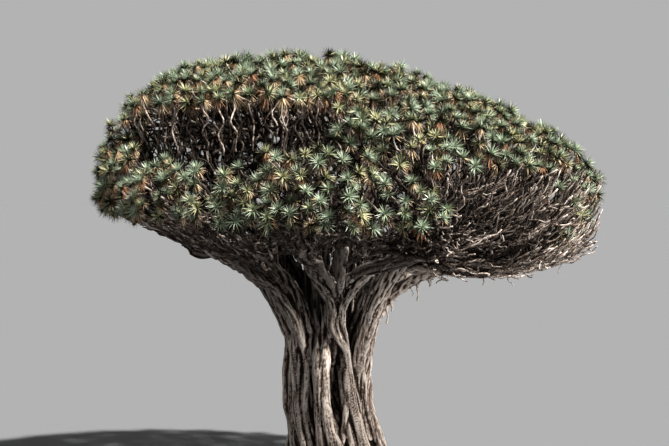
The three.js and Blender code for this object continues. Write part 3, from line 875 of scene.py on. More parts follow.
# Ropes that stand out on the near side: (azimuth in degrees, height), radius, and how proud they stand
proudRopes = [
    {"path": ((303, 4.1), (293, 3.3), (286, 2.5), (283, 1.6)), "radius": 0.11, "proud": 0.12},
    {"path": ((258, 0.4), (258, 2.6), (257, 4.6), (253, 7.4)), "radius": 0.26, "proud": 0.04},
    {"path": ((269, 0.5), (267, 2.6), (266, 4.8), (262, 7.6)), "radius": 0.23, "proud": 0.06},
    {"path": ((354, 1.4), (355, 3.2), (350, 4.8), (343, 5.8)), "radius": 0.17, "proud": 0.14},
    {"path": ((238, 1.2), (236, 3.5), (238, 5.5), (242, 7.0)), "radius": 0.11, "proud": 0.08},
    {"path": ((214, 1.6), (217, 3.5), (215, 5.4), (219, 7.0)), "radius": 0.12, "proud": 0.08},
]
# Short roots that hang under the right boughs: where, and how long
aerialRoots = [
    ((1.62, -0.95, 7.40), 0.50), ((1.80, -1.02, 7.65), 0.95), ((1.98, -1.06, 7.85), 0.70),
    ((2.12, -1.10, 7.95), 0.40), ((2.75, -1.20, 8.35), 0.60), ((2.95, -1.25, 8.45), 0.85),
    ((3.40, -1.30, 8.60), 0.45),
]
foreSector = (243, 352)  # degrees where the trunk's other ropes end below the fork


def plainRadius(height):
    base = (trunk["neck"] + trunk["buttress"] * np.exp(-height / trunk["buttressFall"])
            + trunk["rootFlare"] * np.exp(-height / trunk["rootFall"])
            + trunk["shoulder"] * smooth(height, 0.74 * trunk["height"], trunk["height"]))
    return base * (1 - trunk["drawIn"] * smooth(height, 0.85 * trunk["height"], trunk["height"]))


def trunkRadius(height, azimuth):
    turned = azimuth + trunk["twist"] * height / trunk["height"]
    foot = 1 + 0.8 * np.exp(-height / trunk["buttressFall"])
    flutes = trunk["fluteDepth"] * foot * np.cos(trunk["flutes"] * turned)
    cords = trunk["cordDepth"] * np.cos((2 * trunk["flutes"] + 3) * turned + 1.2)
    return plainRadius(height) * (1 + flutes + cords)


def wallRadius(height, azimuth):  # the trunk's, and from its shoulder on that of the underside
    share = rightness(azimuth)
    out = ((1 - share) * np.interp(height, profiles["left"][:60, 2], profiles["left"][:60, 0])
           + share * np.interp(height, profiles["right"][:60, 2], profiles["right"][:60, 0]))
    high = smooth(height, 5.2, 6.4)
    return (1 - high) * trunkRadius(height, azimuth) + high * (out + 0.08)


def ropeRelief(height, azimuth):
    # the highest of many ridges: tall * sqrt(1 - (distance / half width)^2), each wandering as it climbs
    rng = np.random.default_rng(ropes["seed"])
    relief = np.zeros(np.broadcast(height, azimuth).shape)
    for _ in range(ropes["count"]):
        middle = rng.uniform(0, 2 * np.pi) + rng.normal(0, 0.05) * height
        middle = middle - trunk["twist"] * height / trunk["height"]
        middle = middle + rng.uniform(0.03, 0.12) * waver(rng, height, 0.5, 1.6)
        width = rng.uniform(0.025, 0.055)
        width = width * (1 + 0.3 * waver(rng, height, 0.8, 2.4))
        tall = rng.uniform(0.05, 0.10)
        begins = rng.uniform(-3, 4.5)
        tall = tall * smooth(height, begins, begins + 1.2) * (1 + 0.25 * np.sin(rng.uniform(2, 4) * height))
        gapAround = turnFrom(middle, azimuth)
        relief = np.maximum(relief, tall * np.sqrt(np.clip(1 - (gapAround / width) ** 2, 0, 1)))
    return relief


def cleftDepth(height, azimuth):
    # narrow between the flutes: depth * ((1 - cos(flutes * turned)) / 2)^6, a depth of its own for each
    rng = np.random.default_rng(ropes["seed"] + 1)
    turned = azimuth + trunk["twist"] * height / trunk["height"]
    turned = turned + 0.035 * np.sin(1.7 * height + 2 * azimuth)
    number = np.floor(trunk["flutes"] * turned / (2 * np.pi)).astype(int) % trunk["flutes"]
    share = rng.uniform(0.45, 1.25, trunk["flutes"])[number]
    reach = rng.uniform(0, 6.3, trunk["flutes"])[number]
    cleft = (0.5 - 0.5 * np.cos(trunk["flutes"] * turned)) ** 6
    depth = ropes["cleft"] * share * (0.75 + 0.35 * np.sin(1.3 * height + reach)) * cleft
    for place in hollows:
        aside = turnFrom(math.radians(place["azimuth"]), azimuth)
        within = smooth(height, place["low"], place["low"] + 0.7)
        within = within * (1 - smooth(height, place["high"] - 0.7, place["high"]))
        depth = depth + place["depth"] * within * np.exp(-((aside / math.radians(place["width"])) ** 2))
    return depth


def trunkShell():
    # radius = wall - sink + ropes - clefts + knots, drawn in towards the top, where it closes as a dome
    columns, rows = ropes["columns"], ropes["rows"]
    azimuth = 2 * np.pi * np.arange(columns)[None] / columns
    height = ropes["top"] * (np.arange(rows)[:, None] / (rows - 1)) ** 1.1
    relief = ropeRelief(height, azimuth) - cleftDepth(height, azimuth)
    knots = 0.06 * np.sin(5 * azimuth + 1.9 * height) * np.sin(2.6 * height + 3 * azimuth + 1)
    closing = smooth(height, ropes["domeFrom"], ropes["top"])
    radius = wallRadius(height, azimuth) - ropes["sink"] + (relief + knots) * (1 - closing)
    radius = radius - ropes["inset"] * closing
    wall = np.stack([trunkCentre(height) + radius * np.cos(azimuth), radius * np.sin(azimuth),
                     height + 0 * radius], axis=-1).reshape(-1, 3)
    ends = np.array([[0, 0, 0], [trunk["lean"], 0, ropes["top"] + 0.2]])
    triangles = np.concatenate([gridTriangles(rows, columns), capTriangles(rows, columns)])
    return np.concatenate([wall, ends]), triangles


def cordRelief(seed, depth):  # ridges along a limb that wander round it, as a share of its radius
    def relief(along, radii, turn):
        rng = np.random.default_rng(seed)
        count = len(along)
        value = np.full((*radii.shape, len(turn)), -depth)
        for _ in range(12):
            middle = rng.uniform(0, 2 * np.pi, (count, 1, 1))
            middle = middle + rng.normal(0, 0.35, (count, 1, 1)) * along[..., None]
            width = rng.uniform(0.2, 0.5, (count, 1, 1))
            tall = rng.uniform(0.6, 2.2, (count, 1, 1)) * depth
            gapAround = turnFrom(middle, turn)
            ridge = tall * np.sqrt(np.clip(1 - (gapAround / width) ** 2, 0, 1)) - depth
            value = np.maximum(value, ridge)
        return value
    return relief


def wandering(paths, seed, size):  # paths that sway a little between their ends
    count, rings = paths.shape[:2]
    rng = np.random.default_rng(seed)
    t = np.linspace(0, 1, rings)[None, :, None]
    waves = rng.uniform(1.5, 3, (count, 1, 3)) * np.pi * t
    return paths + size * np.sin(np.pi * t) * np.sin(waves + rng.uniform(0, 6, (count, 1, 3)))


def undersideHeight(out, share):
    return ((1 - share) * np.interp(out, profiles["left"][:, 0], profiles["left"][:, 2])
            + share * np.interp(out, profiles["right"][:, 0], profiles["right"][:, 2]))


def boughShade(points, normals=None):
    # by how far a point lies behind the plain wall of the trunk, in a hollow of it, or above the underside,
    # and darker high up and towards the left of the fork, away from the light
    azimuth = np.arctan2(points[:, 1], points[:, 0] - trunkCentre(points[:, 2]))
    out = np.hypot(points[:, 0] - trunkCentre(points[:, 2]), points[:, 1])
    share = rightness(azimuth)
    low = points[:, 2] < 6.6
    behind = np.where(low, plainRadius(points[:, 2]), wallRadius(points[:, 2], azimuth)) - out
    depth = np.minimum(behind, points[:, 2] - undersideHeight(out, share))
    shade = 0.93 * smooth(depth, 0.24, 0.62)
    for place in hollows:
        aside = turnFrom(math.radians(place["azimuth"]), azimuth)
        within = smooth(points[:, 2], place["low"], place["low"] + 0.5)
        within = within * (1 - smooth(points[:, 2], place["high"], 7.6))
        within = within * np.exp(-((aside / math.radians(1.3 * place["width"])) ** 2))
        shade = np.maximum(shade, 0.95 * within * smooth(behind, 0.10, 0.26))
    if normals is not None:  # what faces inwards above the trunk takes painted shade
        inwards = -(normals[:, 0] * np.cos(azimuth) + normals[:, 1] * np.sin(azimuth))
        shade = np.maximum(shade, 0.9 * smooth(inwards, 0.0, 0.6) * smooth(points[:, 2], 5.2, 6.2))
    left = 0.78 * (1 - share) * smooth(points[:, 2], 5.4, 7.8)
    high = 0.5 * smooth(points[:, 2], 8.2, 9.2) * (1 - share * smooth(out, 3, 5))
    return shade + (1 - shade) * np.maximum(left, high)


limbMesh = {
    "rings": 44, "sides": 18, "depth": 0.20,
    "leastShade": 0.8,
    "arch": 0.28,  # metres that they bow up between their ends
    "sway": 0.12, "seed": 3,
}


def limbPaths():  # the swaying limbs, with their radii
    names = [name for name in limbs if name.startswith("limb")]
    paths = wandering(np.array([evenly(limbs[name][0], limbMesh["rings"]) for name in names]),
                      limbMesh["seed"], limbMesh["sway"])
    t = np.linspace(0, 1, limbMesh["rings"])[None]
    paths[..., 2] += limbMesh["arch"] * np.sin(np.pi * t) ** 2
    radii = np.array([limbs[name][1] * (1 + (limbs[name][2] - 1) * t[0]) for name in names])
    return names, paths, radii


def limbShade(points):
    return np.maximum(limbMesh["leastShade"], boughShade(points))


def limbPiece(material):
    names, paths, radii = limbPaths()
    relief = cordRelief(7, limbMesh["depth"])
    vertices, triangles, attributes = tubes(paths, radii, limbMesh["sides"], relief, limbShade)
    makePiece("limbBark", vertices, triangles, material, names, attributes)


# Strands: ropes over the boughs and limbs, and up the trunk to each stave
strands = {
    "perLimb": 3, "perInner": 6, "rings": 90, "sides": 8,
    "size": 0.27,  # radius of a strand, as a share of its bough's
    "limbShare": 0.45,  # how far along the limb they run
    "lowFoot": 0.2, "highFoot": 3.0,  # heights where the trunk's ropes begin
    "greatest": 0.15,  # radius of a rope, which is as thick as its stave otherwise
    "thinPerRope": 3, "thinSize": 0.050,
    "seed": 4,
}


def boughRoutes():  # spine, radius there, azimuth, share of the turn and number of strands
    routes = []
    for k, place in enumerate(outerBoughs):
        curve, radius, taper = limbs[f"bough_{k + 1}"]
        for number, letter in enumerate("abc"):
            limbSpine, limbRadius, _ = limbs[f"limb_{k + 1}{letter}"]
            onLimb = limbSpine[6:int(200 * strands["limbShare"])]
            spine = softened(drawnIn(np.concatenate([curve[:-6], onLimb])), strands["rings"], 9)
            fork = int(np.argmin(np.linalg.norm(spine - curve[-1], axis=1)))
            # the radius goes from the bough's to the limb's over the last stretch of the bough
            thick = np.interp(np.arange(strands["rings"]), [0, 0.8 * fork, fork, strands["rings"]],
                              [radius, radius * (1 - 0.8 * (1 - taper)), 1.1 * limbRadius, 0.95 * limbRadius])
            routes.append((spine, thick, math.radians(place["azimuth"]), number / 3, strands["perLimb"]))
    for k, place in enumerate(innerBoughs):
        curve, radius, _ = limbs[f"bough_inner_{k + 1}"]
        spine = evenly(curve[:160], strands["rings"])
        thick = radius * np.linspace(1, 0.62, strands["rings"])
        routes.append((spine, thick, math.radians(place["azimuth"]), 0, strands["perInner"]))
    return routes


def boughStrands(rng):
    along = np.linspace(0, 1, strands["rings"])
    paths, radii = [], []
    for spine, thick, azimuth, begin, number in boughRoutes():
        tangent = unit(np.gradient(spine, axis=0))
        outward = np.array([math.cos(azimuth), math.sin(azimuth), 0])
        out = unit(outward - (tangent @ outward)[:, None] * tangent)
        side = np.cross(tangent, out)
        for k in range(number):
            turn = 2 * np.pi * (k + begin + rng.uniform(-0.1, 0.1)) / number
            turn = turn + 0.5 * along + rng.uniform(0.05, 0.22) * waver(rng, along, 5, 12)
            size = strands["size"] * thick * rng.uniform(0.75, 1.2)
            size = size * (1 + 0.18 * waver(rng, along, 9, 22))
            sunk = 0.12 * smooth(along, 0.9, 1)
            size = size * (0.4 + 0.6 * smooth(along, 0.02, 0.25))
            hold = thick * (0.55 + 0.35 * smooth(along, 0.02, 0.3)) - 0.3 * size - sunk
            paths.append(spine + hold[:, None] * (np.cos(turn)[:, None] * out + np.sin(turn)[:, None] * side))
            radii.append(np.maximum(0.045, size))
    return paths, radii


def wallPath(azimuth, foot, depth, top, sinkAtTop=0.0):  # up the wall of the trunk with the flutes
    height = np.linspace(foot, top, 60)
    turned = azimuth + trunk["twist"] * (underside["left"][0][1] - height) / trunk["height"]
    column = wallRadius(height, turned) - 0.55 * cleftDepth(height, turned) - ropes["sink"] + depth
    column = column - sinkAtTop * smooth(height, top - 1.3, top)
    return np.stack([trunkCentre(height) + column * np.cos(turned), column * np.sin(turned), height], axis=1)


def trunkStrands(rng):  # one rope up to each stave, and thin ones that wind over it
    paths, radii = [], []
    count = strands["rings"]
    along = np.linspace(0, 1, count)
    firstPaths = onUnderside(twigPaths([segment for _, segment in staveFeet], 12, rng, 0.03))
    for (azimuth, segment), onward in zip(staveFeet, firstPaths):
        foot = rng.uniform(strands["lowFoot"], strands["highFoot"])
        if foreSector[0] < math.degrees(azimuth) % 360 < foreSector[1]:
            spine = softened(wallPath(azimuth, foot, 0.02, rng.uniform(5.6, 6.5), 0.5), count, 7)
        else:
            wall = wallPath(azimuth, foot, 0.02, underside["left"][0][1] - 0.05)
            spine = softened(np.concatenate([wall, onward[1:]]), count, 7)
        sway = rng.uniform(0.04, 0.10) * waver(rng, along, 6, 12) * smooth(1 - along, 0, 0.2)
        aside = np.array([-math.sin(azimuth), math.cos(azimuth), 0])
        radius = min(strands["greatest"], segment.radius) * rng.uniform(0.75, 1.2)
        size = radius * (1 + 0.2 * waver(rng, along, 8, 20))
        size = size * (1 - 0.5 * (1 - smooth(along, 0, 0.12))) * (1 - 0.12 * along)
        inwards = np.array([-math.cos(azimuth), -math.sin(azimuth), 0])
        buried = 0.14 * (1 - smooth(along, 0, 0.22))
        paths.append(spine + sway[:, None] * aside + buried[:, None] * inwards)
        radii.append(size)
        outward = np.array([math.cos(azimuth), math.sin(azimuth), 0])
        for k in range(strands["thinPerRope"]):
            turn = rng.uniform(-1.3, 1.3) + rng.uniform(0.3, 0.9) * waver(rng, along, 4, 9)
            hold = size - 0.01
            offset = np.cos(turn)[:, None] * outward + np.sin(turn)[:, None] * aside
            paths.append(paths[-1 - k] + hold[:, None] * offset)
            thin = strands["thinSize"] * rng.uniform(0.7, 1.2)
            radii.append(thin * (1 + 0.25 * waver(rng, along, 10, 25)))
    return paths, radii


def proudStrands(rng):
    count = strands["rings"]
    along = np.linspace(0, 1, count)
    paths, radii = [], []
    for rope in proudRopes:
        azimuths, heights = np.array(rope["path"]).T
        at = np.linspace(0, len(heights) - 1, 40)
        azimuth = np.radians(np.interp(at, np.arange(len(heights)), azimuths))
        height = np.interp(at, np.arange(len(heights)), heights)
        column = wallRadius(height, azimuth) - ropes["sink"] + rope["proud"]
        column = column - 0.4 * smooth(at / at[-1], 0.72, 1) - 0.15 * (1 - smooth(at / at[-1], 0, 0.2))
        x = trunkCentre(height) + column * np.cos(azimuth)
        spine = np.stack([x, column * np.sin(azimuth), height], axis=1)
        sway = 0.05 * waver(rng, along, 7, 13)
        aside = np.array([-math.sin(azimuth[20]), math.cos(azimuth[20]), 0])
        paths.append(softened(spine, count, 12) + sway[:, None] * aside)
        size = rope["radius"] * (1 + 0.16 * waver(rng, along, 8, 20))
        radii.append(size * (0.45 + 0.55 * smooth(along, 0, 0.2)) * (1 - 0.7 * smooth(along, 0.6, 1)))
    return paths, radii


def foreStrands(rng):
    # each limb is a core with ropes round it, which come up the wall of the trunk from their own feet
    count = strands["rings"]
    along = np.linspace(0, 1, count)
    paths, radii, cores = [], [], []
    for place in foreLimbs:
        spine = softened(np.array(place["spine"]), count, 14)
        thick = place["from"] + (place["to"] - place["from"]) * along
        cores.append((spine, thick * (0.5 + 0.36 * smooth(along, 0, 0.2))))
        tangent = unit(np.gradient(spine, axis=0))
        outward = unit(np.array([*(spine[20, :2] - [trunk["lean"], 0]), 0]))
        out = unit(outward - (tangent @ outward)[:, None] * tangent)
        side = np.cross(tangent, out)
        feet = place["feet"] if len(place["feet"]) > 3 else np.repeat(place["feet"], 2)
        for k, azimuth in enumerate(feet):
            # the ropes lie side by side on the near half of the limb, and change places a little
            turn = (k + 0.5 - 0.5 * len(feet)) * (2.6 / max(2, len(feet)))
            turn = turn + 0.3 * waver(rng, along, 3, 8)
            size = thick * (0.5 if len(feet) < 4 else 0.34) * rng.uniform(0.8, 1.2)
            size = np.maximum(0.05, size * (1 + 0.16 * waver(rng, along, 9, 20)))
            hold = thick - 0.5 * size
            onLimb = spine + hold[:, None] * (np.cos(turn)[:, None] * out + np.sin(turn)[:, None] * side)
            wall = wallPath(math.radians(azimuth), rng.uniform(0.4, 2.6), 0.09, place["spine"][0][2] - 0.5)
            joined = softened(np.concatenate([wall, onLimb[8:]]), count, 8)
            thinner = 0.75 + 0.25 * smooth(along, 0, 0.15)
            paths.append(joined)
            radii.append(thinner * np.interp(along, [0, 0.45, 1], [1.05 * size[0], size[10], size[-1]]))
    for top, length in aerialRoots:
        sway = 0.03 * np.stack([np.sin(9 * along + length), np.cos(7 * along), 0 * along], axis=1)
        paths.append(np.array(top) - length * along[:, None] * up + sway)
        radii.append(0.055 - 0.015 * along)
    return paths, radii, cores


def strandShells():
    rng = np.random.default_rng(strands["seed"])
    boughPaths, boughRadii = boughStrands(rng)
    trunkPaths, trunkRadii = trunkStrands(rng)
    proudPaths, proudRadii = proudStrands(rng)
    forePaths, foreRadii, cores = foreStrands(rng)
    ropeSpines = trunkPaths[::1 + strands["thinPerRope"]] + proudPaths + forePaths
    ropeShells = tubes(np.array(boughPaths + trunkPaths + proudPaths + forePaths),
                       np.array(boughRadii + trunkRadii + proudRadii + foreRadii), strands["sides"])[:2]
    coreShells = tubes(np.array([spine for spine, _ in cores]), np.array([thick for _, thick in cores]), 24,
                       cordRelief(8, 0.14))[:2]
    return [ropeShells, coreShells], ropeSpines


# One skin over trunk, boughs and strands: closed shells fused by voxels, so that they grow into each other
skin = {
    "voxel": 0.042,
    "smoothing": 1,
    "cuts": (3.3, 7.0, 8.7),  # heights where it is parted into pieces
    "nearHollows": 4, "farHollows": 16,  # rounds of averaging behind the measures of hollows and crests
    "limbShare": 0.32,  # how much of each limb is fused in
    "fibres": {"depth": 0.007, "depthAbove": 0.020, "waves": 9,
               "across": (0.15, 0.32), "along": (0.9, 2.4), "seed": 21},
}


def boughShells():  # the boughs, thinner at their feet, and the first stretch of every limb
    names = [name for name in limbs if name.startswith("bough")]
    rings = 80
    along = np.linspace(0, 1, rings)
    paths = np.array([drawnIn(evenly(limbs[name][0], rings)) for name in names])
    first = np.array([[limbs[name][1]] for name in names])
    last = np.array([[limbs[name][1] * limbs[name][2]] for name in names])
    radii = 0.82 * (first + (last - first) * along[None])
    radii = radii * (0.5 + 0.5 * smooth(along, 0.1, 0.6))[None]
    boughs = tubes(paths, radii, 36, cordRelief(7, 0.10))[:2]
    _, paths, radii = limbPaths()
    keep = int(skin["limbShare"] * limbMesh["rings"])
    close = 1 - 0.3 * smooth(np.arange(keep), 0.7 * keep, keep)
    starts = tubes(paths[:, :keep], 1.04 * radii[:, :keep] * close, 24, cordRelief(7, 0.12))[:2]
    return [boughs, starts]


def neighbourMean(values, edges):  # of each vertex's neighbours, by counting over the edges
    count = len(values)
    ends = np.concatenate([edges[:, 0], edges[:, 1]])
    others = np.concatenate([edges[:, 1], edges[:, 0]])
    share = 1 / np.maximum(1, np.bincount(ends, minlength=count))
    return np.stack([np.bincount(ends, values[others, k], count) * share for k in range(3)], axis=1)


def flowGrain(points, spines):
    # the nearest way up the tree gives the place along the fibres, and the offset from it the place across
    spots = np.concatenate(spines)
    steps = [np.linalg.norm(np.diff(spine, axis=0), axis=1) for spine in spines]
    travelled = np.concatenate([np.concatenate([[0], np.cumsum(lengths)]) for lengths in steps])
    tangents = np.concatenate([unit(np.gradient(spine, axis=0)) for spine in spines])
    grain = np.empty_like(points)
    block = 4000
    for start in range(0, len(points), block):
        part = points[start:start + block]
        squared = (part**2).sum(axis=1)[:, None] - 2 * part @ spots.T + (spots**2).sum(axis=1)[None]
        nearest = np.argmin(squared, axis=1)
        offset = part - spots[nearest]
        along = (offset * tangents[nearest]).sum(axis=1)
        across = offset - along[:, None] * tangents[nearest]
        way = travelled[nearest] + along
        grain[start:start + block] = np.stack([across[:, 0], across[:, 1], way], axis=1)
        grain[start:start + block, :2] += 0.5 * part[:, :2]
    return grain


def fibreRelief(grain, height):  # a sum of sines with short waves across the grain and long ones along it
    looks = skin["fibres"]
    rng = np.random.default_rng(looks["seed"])
    relief = np.zeros(len(grain))
    for _ in range(looks["waves"]):
        turn = rng.uniform(0, 2 * np.pi)
        across = 2 * np.pi / rng.uniform(*looks["across"])
        along = 2 * np.pi / rng.uniform(*looks["along"])
        phase = across * (math.cos(turn) * grain[:, 0] + math.sin(turn) * grain[:, 1]) + along * grain[:, 2]
        relief += np.sin(phase + rng.uniform(0, 2 * np.pi) + 0.8 * np.sin(0.37 * along * grain[:, 2]))
    depth = looks["depth"] + (looks["depthAbove"] - looks["depth"]) * smooth(height, 6, 8)
    return depth * relief * math.sqrt(2 / looks["waves"])


def fusedSkin(shells, spines):
    offset = 0
    corners, faces = [], []
    for vertices, triangles in shells:
        corners.append(vertices)
        faces.append(triangles + offset)
        offset += len(vertices)
    rough = arrayMesh("rough", np.concatenate(corners), np.concatenate(faces), False)
    holder = bpy.data.objects.new("rough", rough)
    bpy.context.scene.collection.objects.link(holder)
    remesh = holder.modifiers.new("fuse", "REMESH")
    remesh.mode = "VOXEL"
    remesh.voxel_size = skin["voxel"]
    bpy.context.view_layer.update()
    fused = bpy.data.meshes.new_from_object(holder.evaluated_get(bpy.context.evaluated_depsgraph_get()))
    bpy.data.objects.remove(holder)
    points = np.empty(3 * len(fused.vertices), np.float32)
    fused.vertices.foreach_get("co", points)
    points = points.reshape(-1, 3).astype(float)
    edges = np.empty(2 * len(fused.edges), np.int32)
    fused.edges.foreach_get("vertices", edges)
    edges = edges.reshape(-1, 2)
    ground = points[:, 2] < 0.6 * skin["voxel"]
    for _ in range(skin["smoothing"]):
        points += 0.6 * (neighbourMean(points, edges) - points)
    normals = np.empty(3 * len(points), np.float32)
    grain = flowGrain(points, spines)
    # the fibres are raised along the normals, and then the normals are read again
    for relief in (fibreRelief(grain, points[:, 2]), np.zeros(len(points))):
        points[:, 2] = np.where(ground, 0, np.maximum(points[:, 2], 0))
        fused.vertices.foreach_set("co", points.astype(np.float32).ravel())
        fused.update()
        fused.vertices.foreach_get("normal", normals)
        points = points + relief[:, None] * normals.reshape(-1, 3)
    points[:, 2] = np.where(ground, 0, np.maximum(points[:, 2], 0))
    normals = normals.reshape(-1, 3)
    blurred = points
    groove = np.zeros(len(points))
    for k in range(skin["farHollows"]):
        blurred = neighbourMean(blurred, edges)
        if k + 1 in (skin["nearHollows"], skin["farHollows"]):
            groove += ((points - blurred) * normals).sum(axis=1)
    corners = np.empty(len(fused.loops), np.int32)
    fused.loops.foreach_get("vertex_index", corners)
    quads = corners.reshape(-1, 4)
    triangles = np.concatenate([quads[:, [0, 1, 2]], quads[:, [0, 2, 3]]])
    bpy.data.meshes.remove(fused)
    attributes = {"grain": grain, "groove": groove, "shade": boughShade(points, normals)}
    return points, normals, triangles, attributes


def skinPieces(material):
    ropeShells, ropeSpines = strandShells()
    spines = ropeSpines + [route[0] for route in boughRoutes()]
    points, normals, triangles, attributes = fusedSkin([trunkShell(), *ropeShells, *boughShells()], spines)
    boughNames = [name for name in limbs if name.startswith("bough")]
    # the pieces meet edge to edge, and keep the normals of the whole
    middle = points[triangles].mean(axis=1)[:, 2]
    levels = (-1, *skin["cuts"], 99)
    for k, (name, replaced) in enumerate((("trunkBark_1", ["trunk"]), ("trunkBark_2", ["trunk"]),
                                          ("boughBark_1", boughNames), ("boughBark_2", boughNames))):
        chosen = triangles[(middle >= levels[k]) & (middle < levels[k + 1])]
        used, renumbered = np.unique(chosen, return_inverse=True)
        mesh = arrayMesh(name, points[used], renumbered.reshape(-1, 3), True)
        addAttributes(mesh, {label: values[used] for label, values in attributes.items()})
        mesh.normals_split_custom_set_from_vertices(normals[used])
        finishPiece(name, mesh, material, replaced)


def streamShade(points):  # painted light where they lie low on the right, and painted shade behind
    azimuth = np.arctan2(points[:, 1], points[:, 0])
    out = np.hypot(points[:, 0], points[:, 1])
    share = rightness(azimuth)
    above = points[:, 2] - undersideHeight(out, share)
    inward = 0.7 * np.maximum(0, shellMeasures(azimuth, True)[1] - out)
    high = smooth(above, 0.4, 1.6)
    rim = smooth(out, 8.4, 9.8)
    least = 0.82 - share * (0.98 - 0.66 * high) * (1 - 0.5 * rim)
    hidden = smooth(np.minimum(above + 0.3, inward), 0.25, 1.3)
    return (least + (1 - least) * hidden) * smooth(points[:, 2], 6.0, 8.4)


def stemShade(points):
    return 0.15 + 0.45 * insideShade(points)


twigShadeVariety = {"darker": 0.97, "paler": 0.70}  # greatest change of a twig's painted shade from its place's, towards more shade or towards painted light


def twigPieces(segments, label, rings, sides, material, seed,
               shadeAt=insideShade, wiggle=twig["wiggle"], place=None):
    rng = np.random.default_rng(seed)
    paths = twigPaths(segments, rings, rng, wiggle)
    if place:
        paths = place(paths)
    t = np.linspace(0, 1, rings)[None]
    radius = np.array([segment.radius for segment in segments])[:, None]
    last = np.array([segment.tips == 1 for segment in segments])[:, None]
    knob = np.where(last, 0, 0.12) * smooth(t, 0.82, 1)
    radii = radius * (1 - 0.16 * t + knob)
    vertices, triangles, attributes = tubes(paths, radii, sides, None, shadeAt)
    # at random some twigs take more painted shade than their place, shade + (1 - shade) * d, and some take
    # painted light, shade - p
    luck = np.repeat(rng.uniform(-1, 1, len(segments)), len(vertices) // len(segments))
    darker = twigShadeVariety["darker"] * np.clip(luck, 0, 1)
    paler = twigShadeVariety["paler"] * np.clip(-luck, 0, 1) ** 2.5
    shade = attributes["shade"]
    attributes["shade"] = shade + (1 - shade) * darker - paler
    makePiece(label, vertices, triangles, material, foliageNodes, attributes)
    return paths


# Rosettes of sword-shaped leaves, one at each tip that isn't bare
rosette = {
    "leaves": 68,
    "length": 0.365,
    "width": 0.036,
    "upright": 7,  # degrees from the heading to the youngest leaf
    "spread": 108,  # and to the oldest
    "droop": 0.10,
    "skirtShare": 0.50,  # of the rosettes keep dead leaves,
    "skirtLeft": 0.45,  # more of them on the left,
    "skirtWindow": {"low": 14.75, "high": 15.9},  # and all over the window, where they are longer
    "skirtLeaves": 24, "skirtFrom": 112, "skirtTo": 158,  # how many, and degrees from the heading
    "seed": 9,
}
foliageNodes = [name for name, _, _ in masses]


def blades(base, direction, side, length, width, sag):
    # five corners a leaf: its foot, three round its broadest place and its point, which sags
    normal = np.cross(side, direction)
    centre = base + (0.3 * length)[:, None] * direction - (0.1 * sag * length)[:, None] * up
    half = (0.5 * width)[:, None] * side
    fold = (0.2 * width)[:, None] * normal
    tip = base + length[:, None] * direction - (sag * length)[:, None] * up
    vertices = np.stack([base, centre - half + fold, centre + half + fold, centre - fold, tip], axis=1)
    foot, left, right, keel, point = range(5)
    faces = np.array([
        [foot, right, left], [foot, keel, right], [foot, left, keel],
        [left, right, point], [right, keel, point], [keel, left, point]])
    triangles = faces[None] + 5 * np.arange(len(vertices))[:, None, None]
    return vertices.reshape(-1, 3), triangles.reshape(-1, 3)


def fan(hearts, headings, scales, leaves, nearest, farthest, rng):
    # leaf directions round each heading: golden-angle turns, evenly over the ball between two polar angles
    count = len(hearts)
    helper = np.where(np.abs(headings[:, 2:3]) < 0.9, up, np.array([1.0, 0, 0]))
    east = unit(np.cross(helper, headings))
    north = np.cross(headings, east)
    share = (np.arange(leaves)[None] + rng.random((count, leaves))) / leaves
    high, low = math.cos(math.radians(nearest)), math.cos(math.radians(farthest))
    cosine = high + (low - high) * share
    sine = np.sqrt(1 - cosine**2)
    turn = np.arange(leaves)[None] * math.pi * (3 - math.sqrt(5)) + rng.uniform(0, 0.5, (count, leaves))
    turn = turn + rng.uniform(0, 6.3, (count, 1))
    radial = np.cos(turn)[..., None] * east[:, None] + np.sin(turn)[..., None] * north[:, None]
    tangent = -np.sin(turn)[..., None] * east[:, None] + np.cos(turn)[..., None] * north[:, None]
    direction = unit(sine[..., None] * radial + cosine[..., None] * headings[:, None])
    base = np.repeat(hearts[:, None], leaves, axis=1)
    return (base.reshape(-1, 3), direction.reshape(-1, 3), -tangent.reshape(-1, 3),
            share.ravel(), np.repeat(scales, leaves))


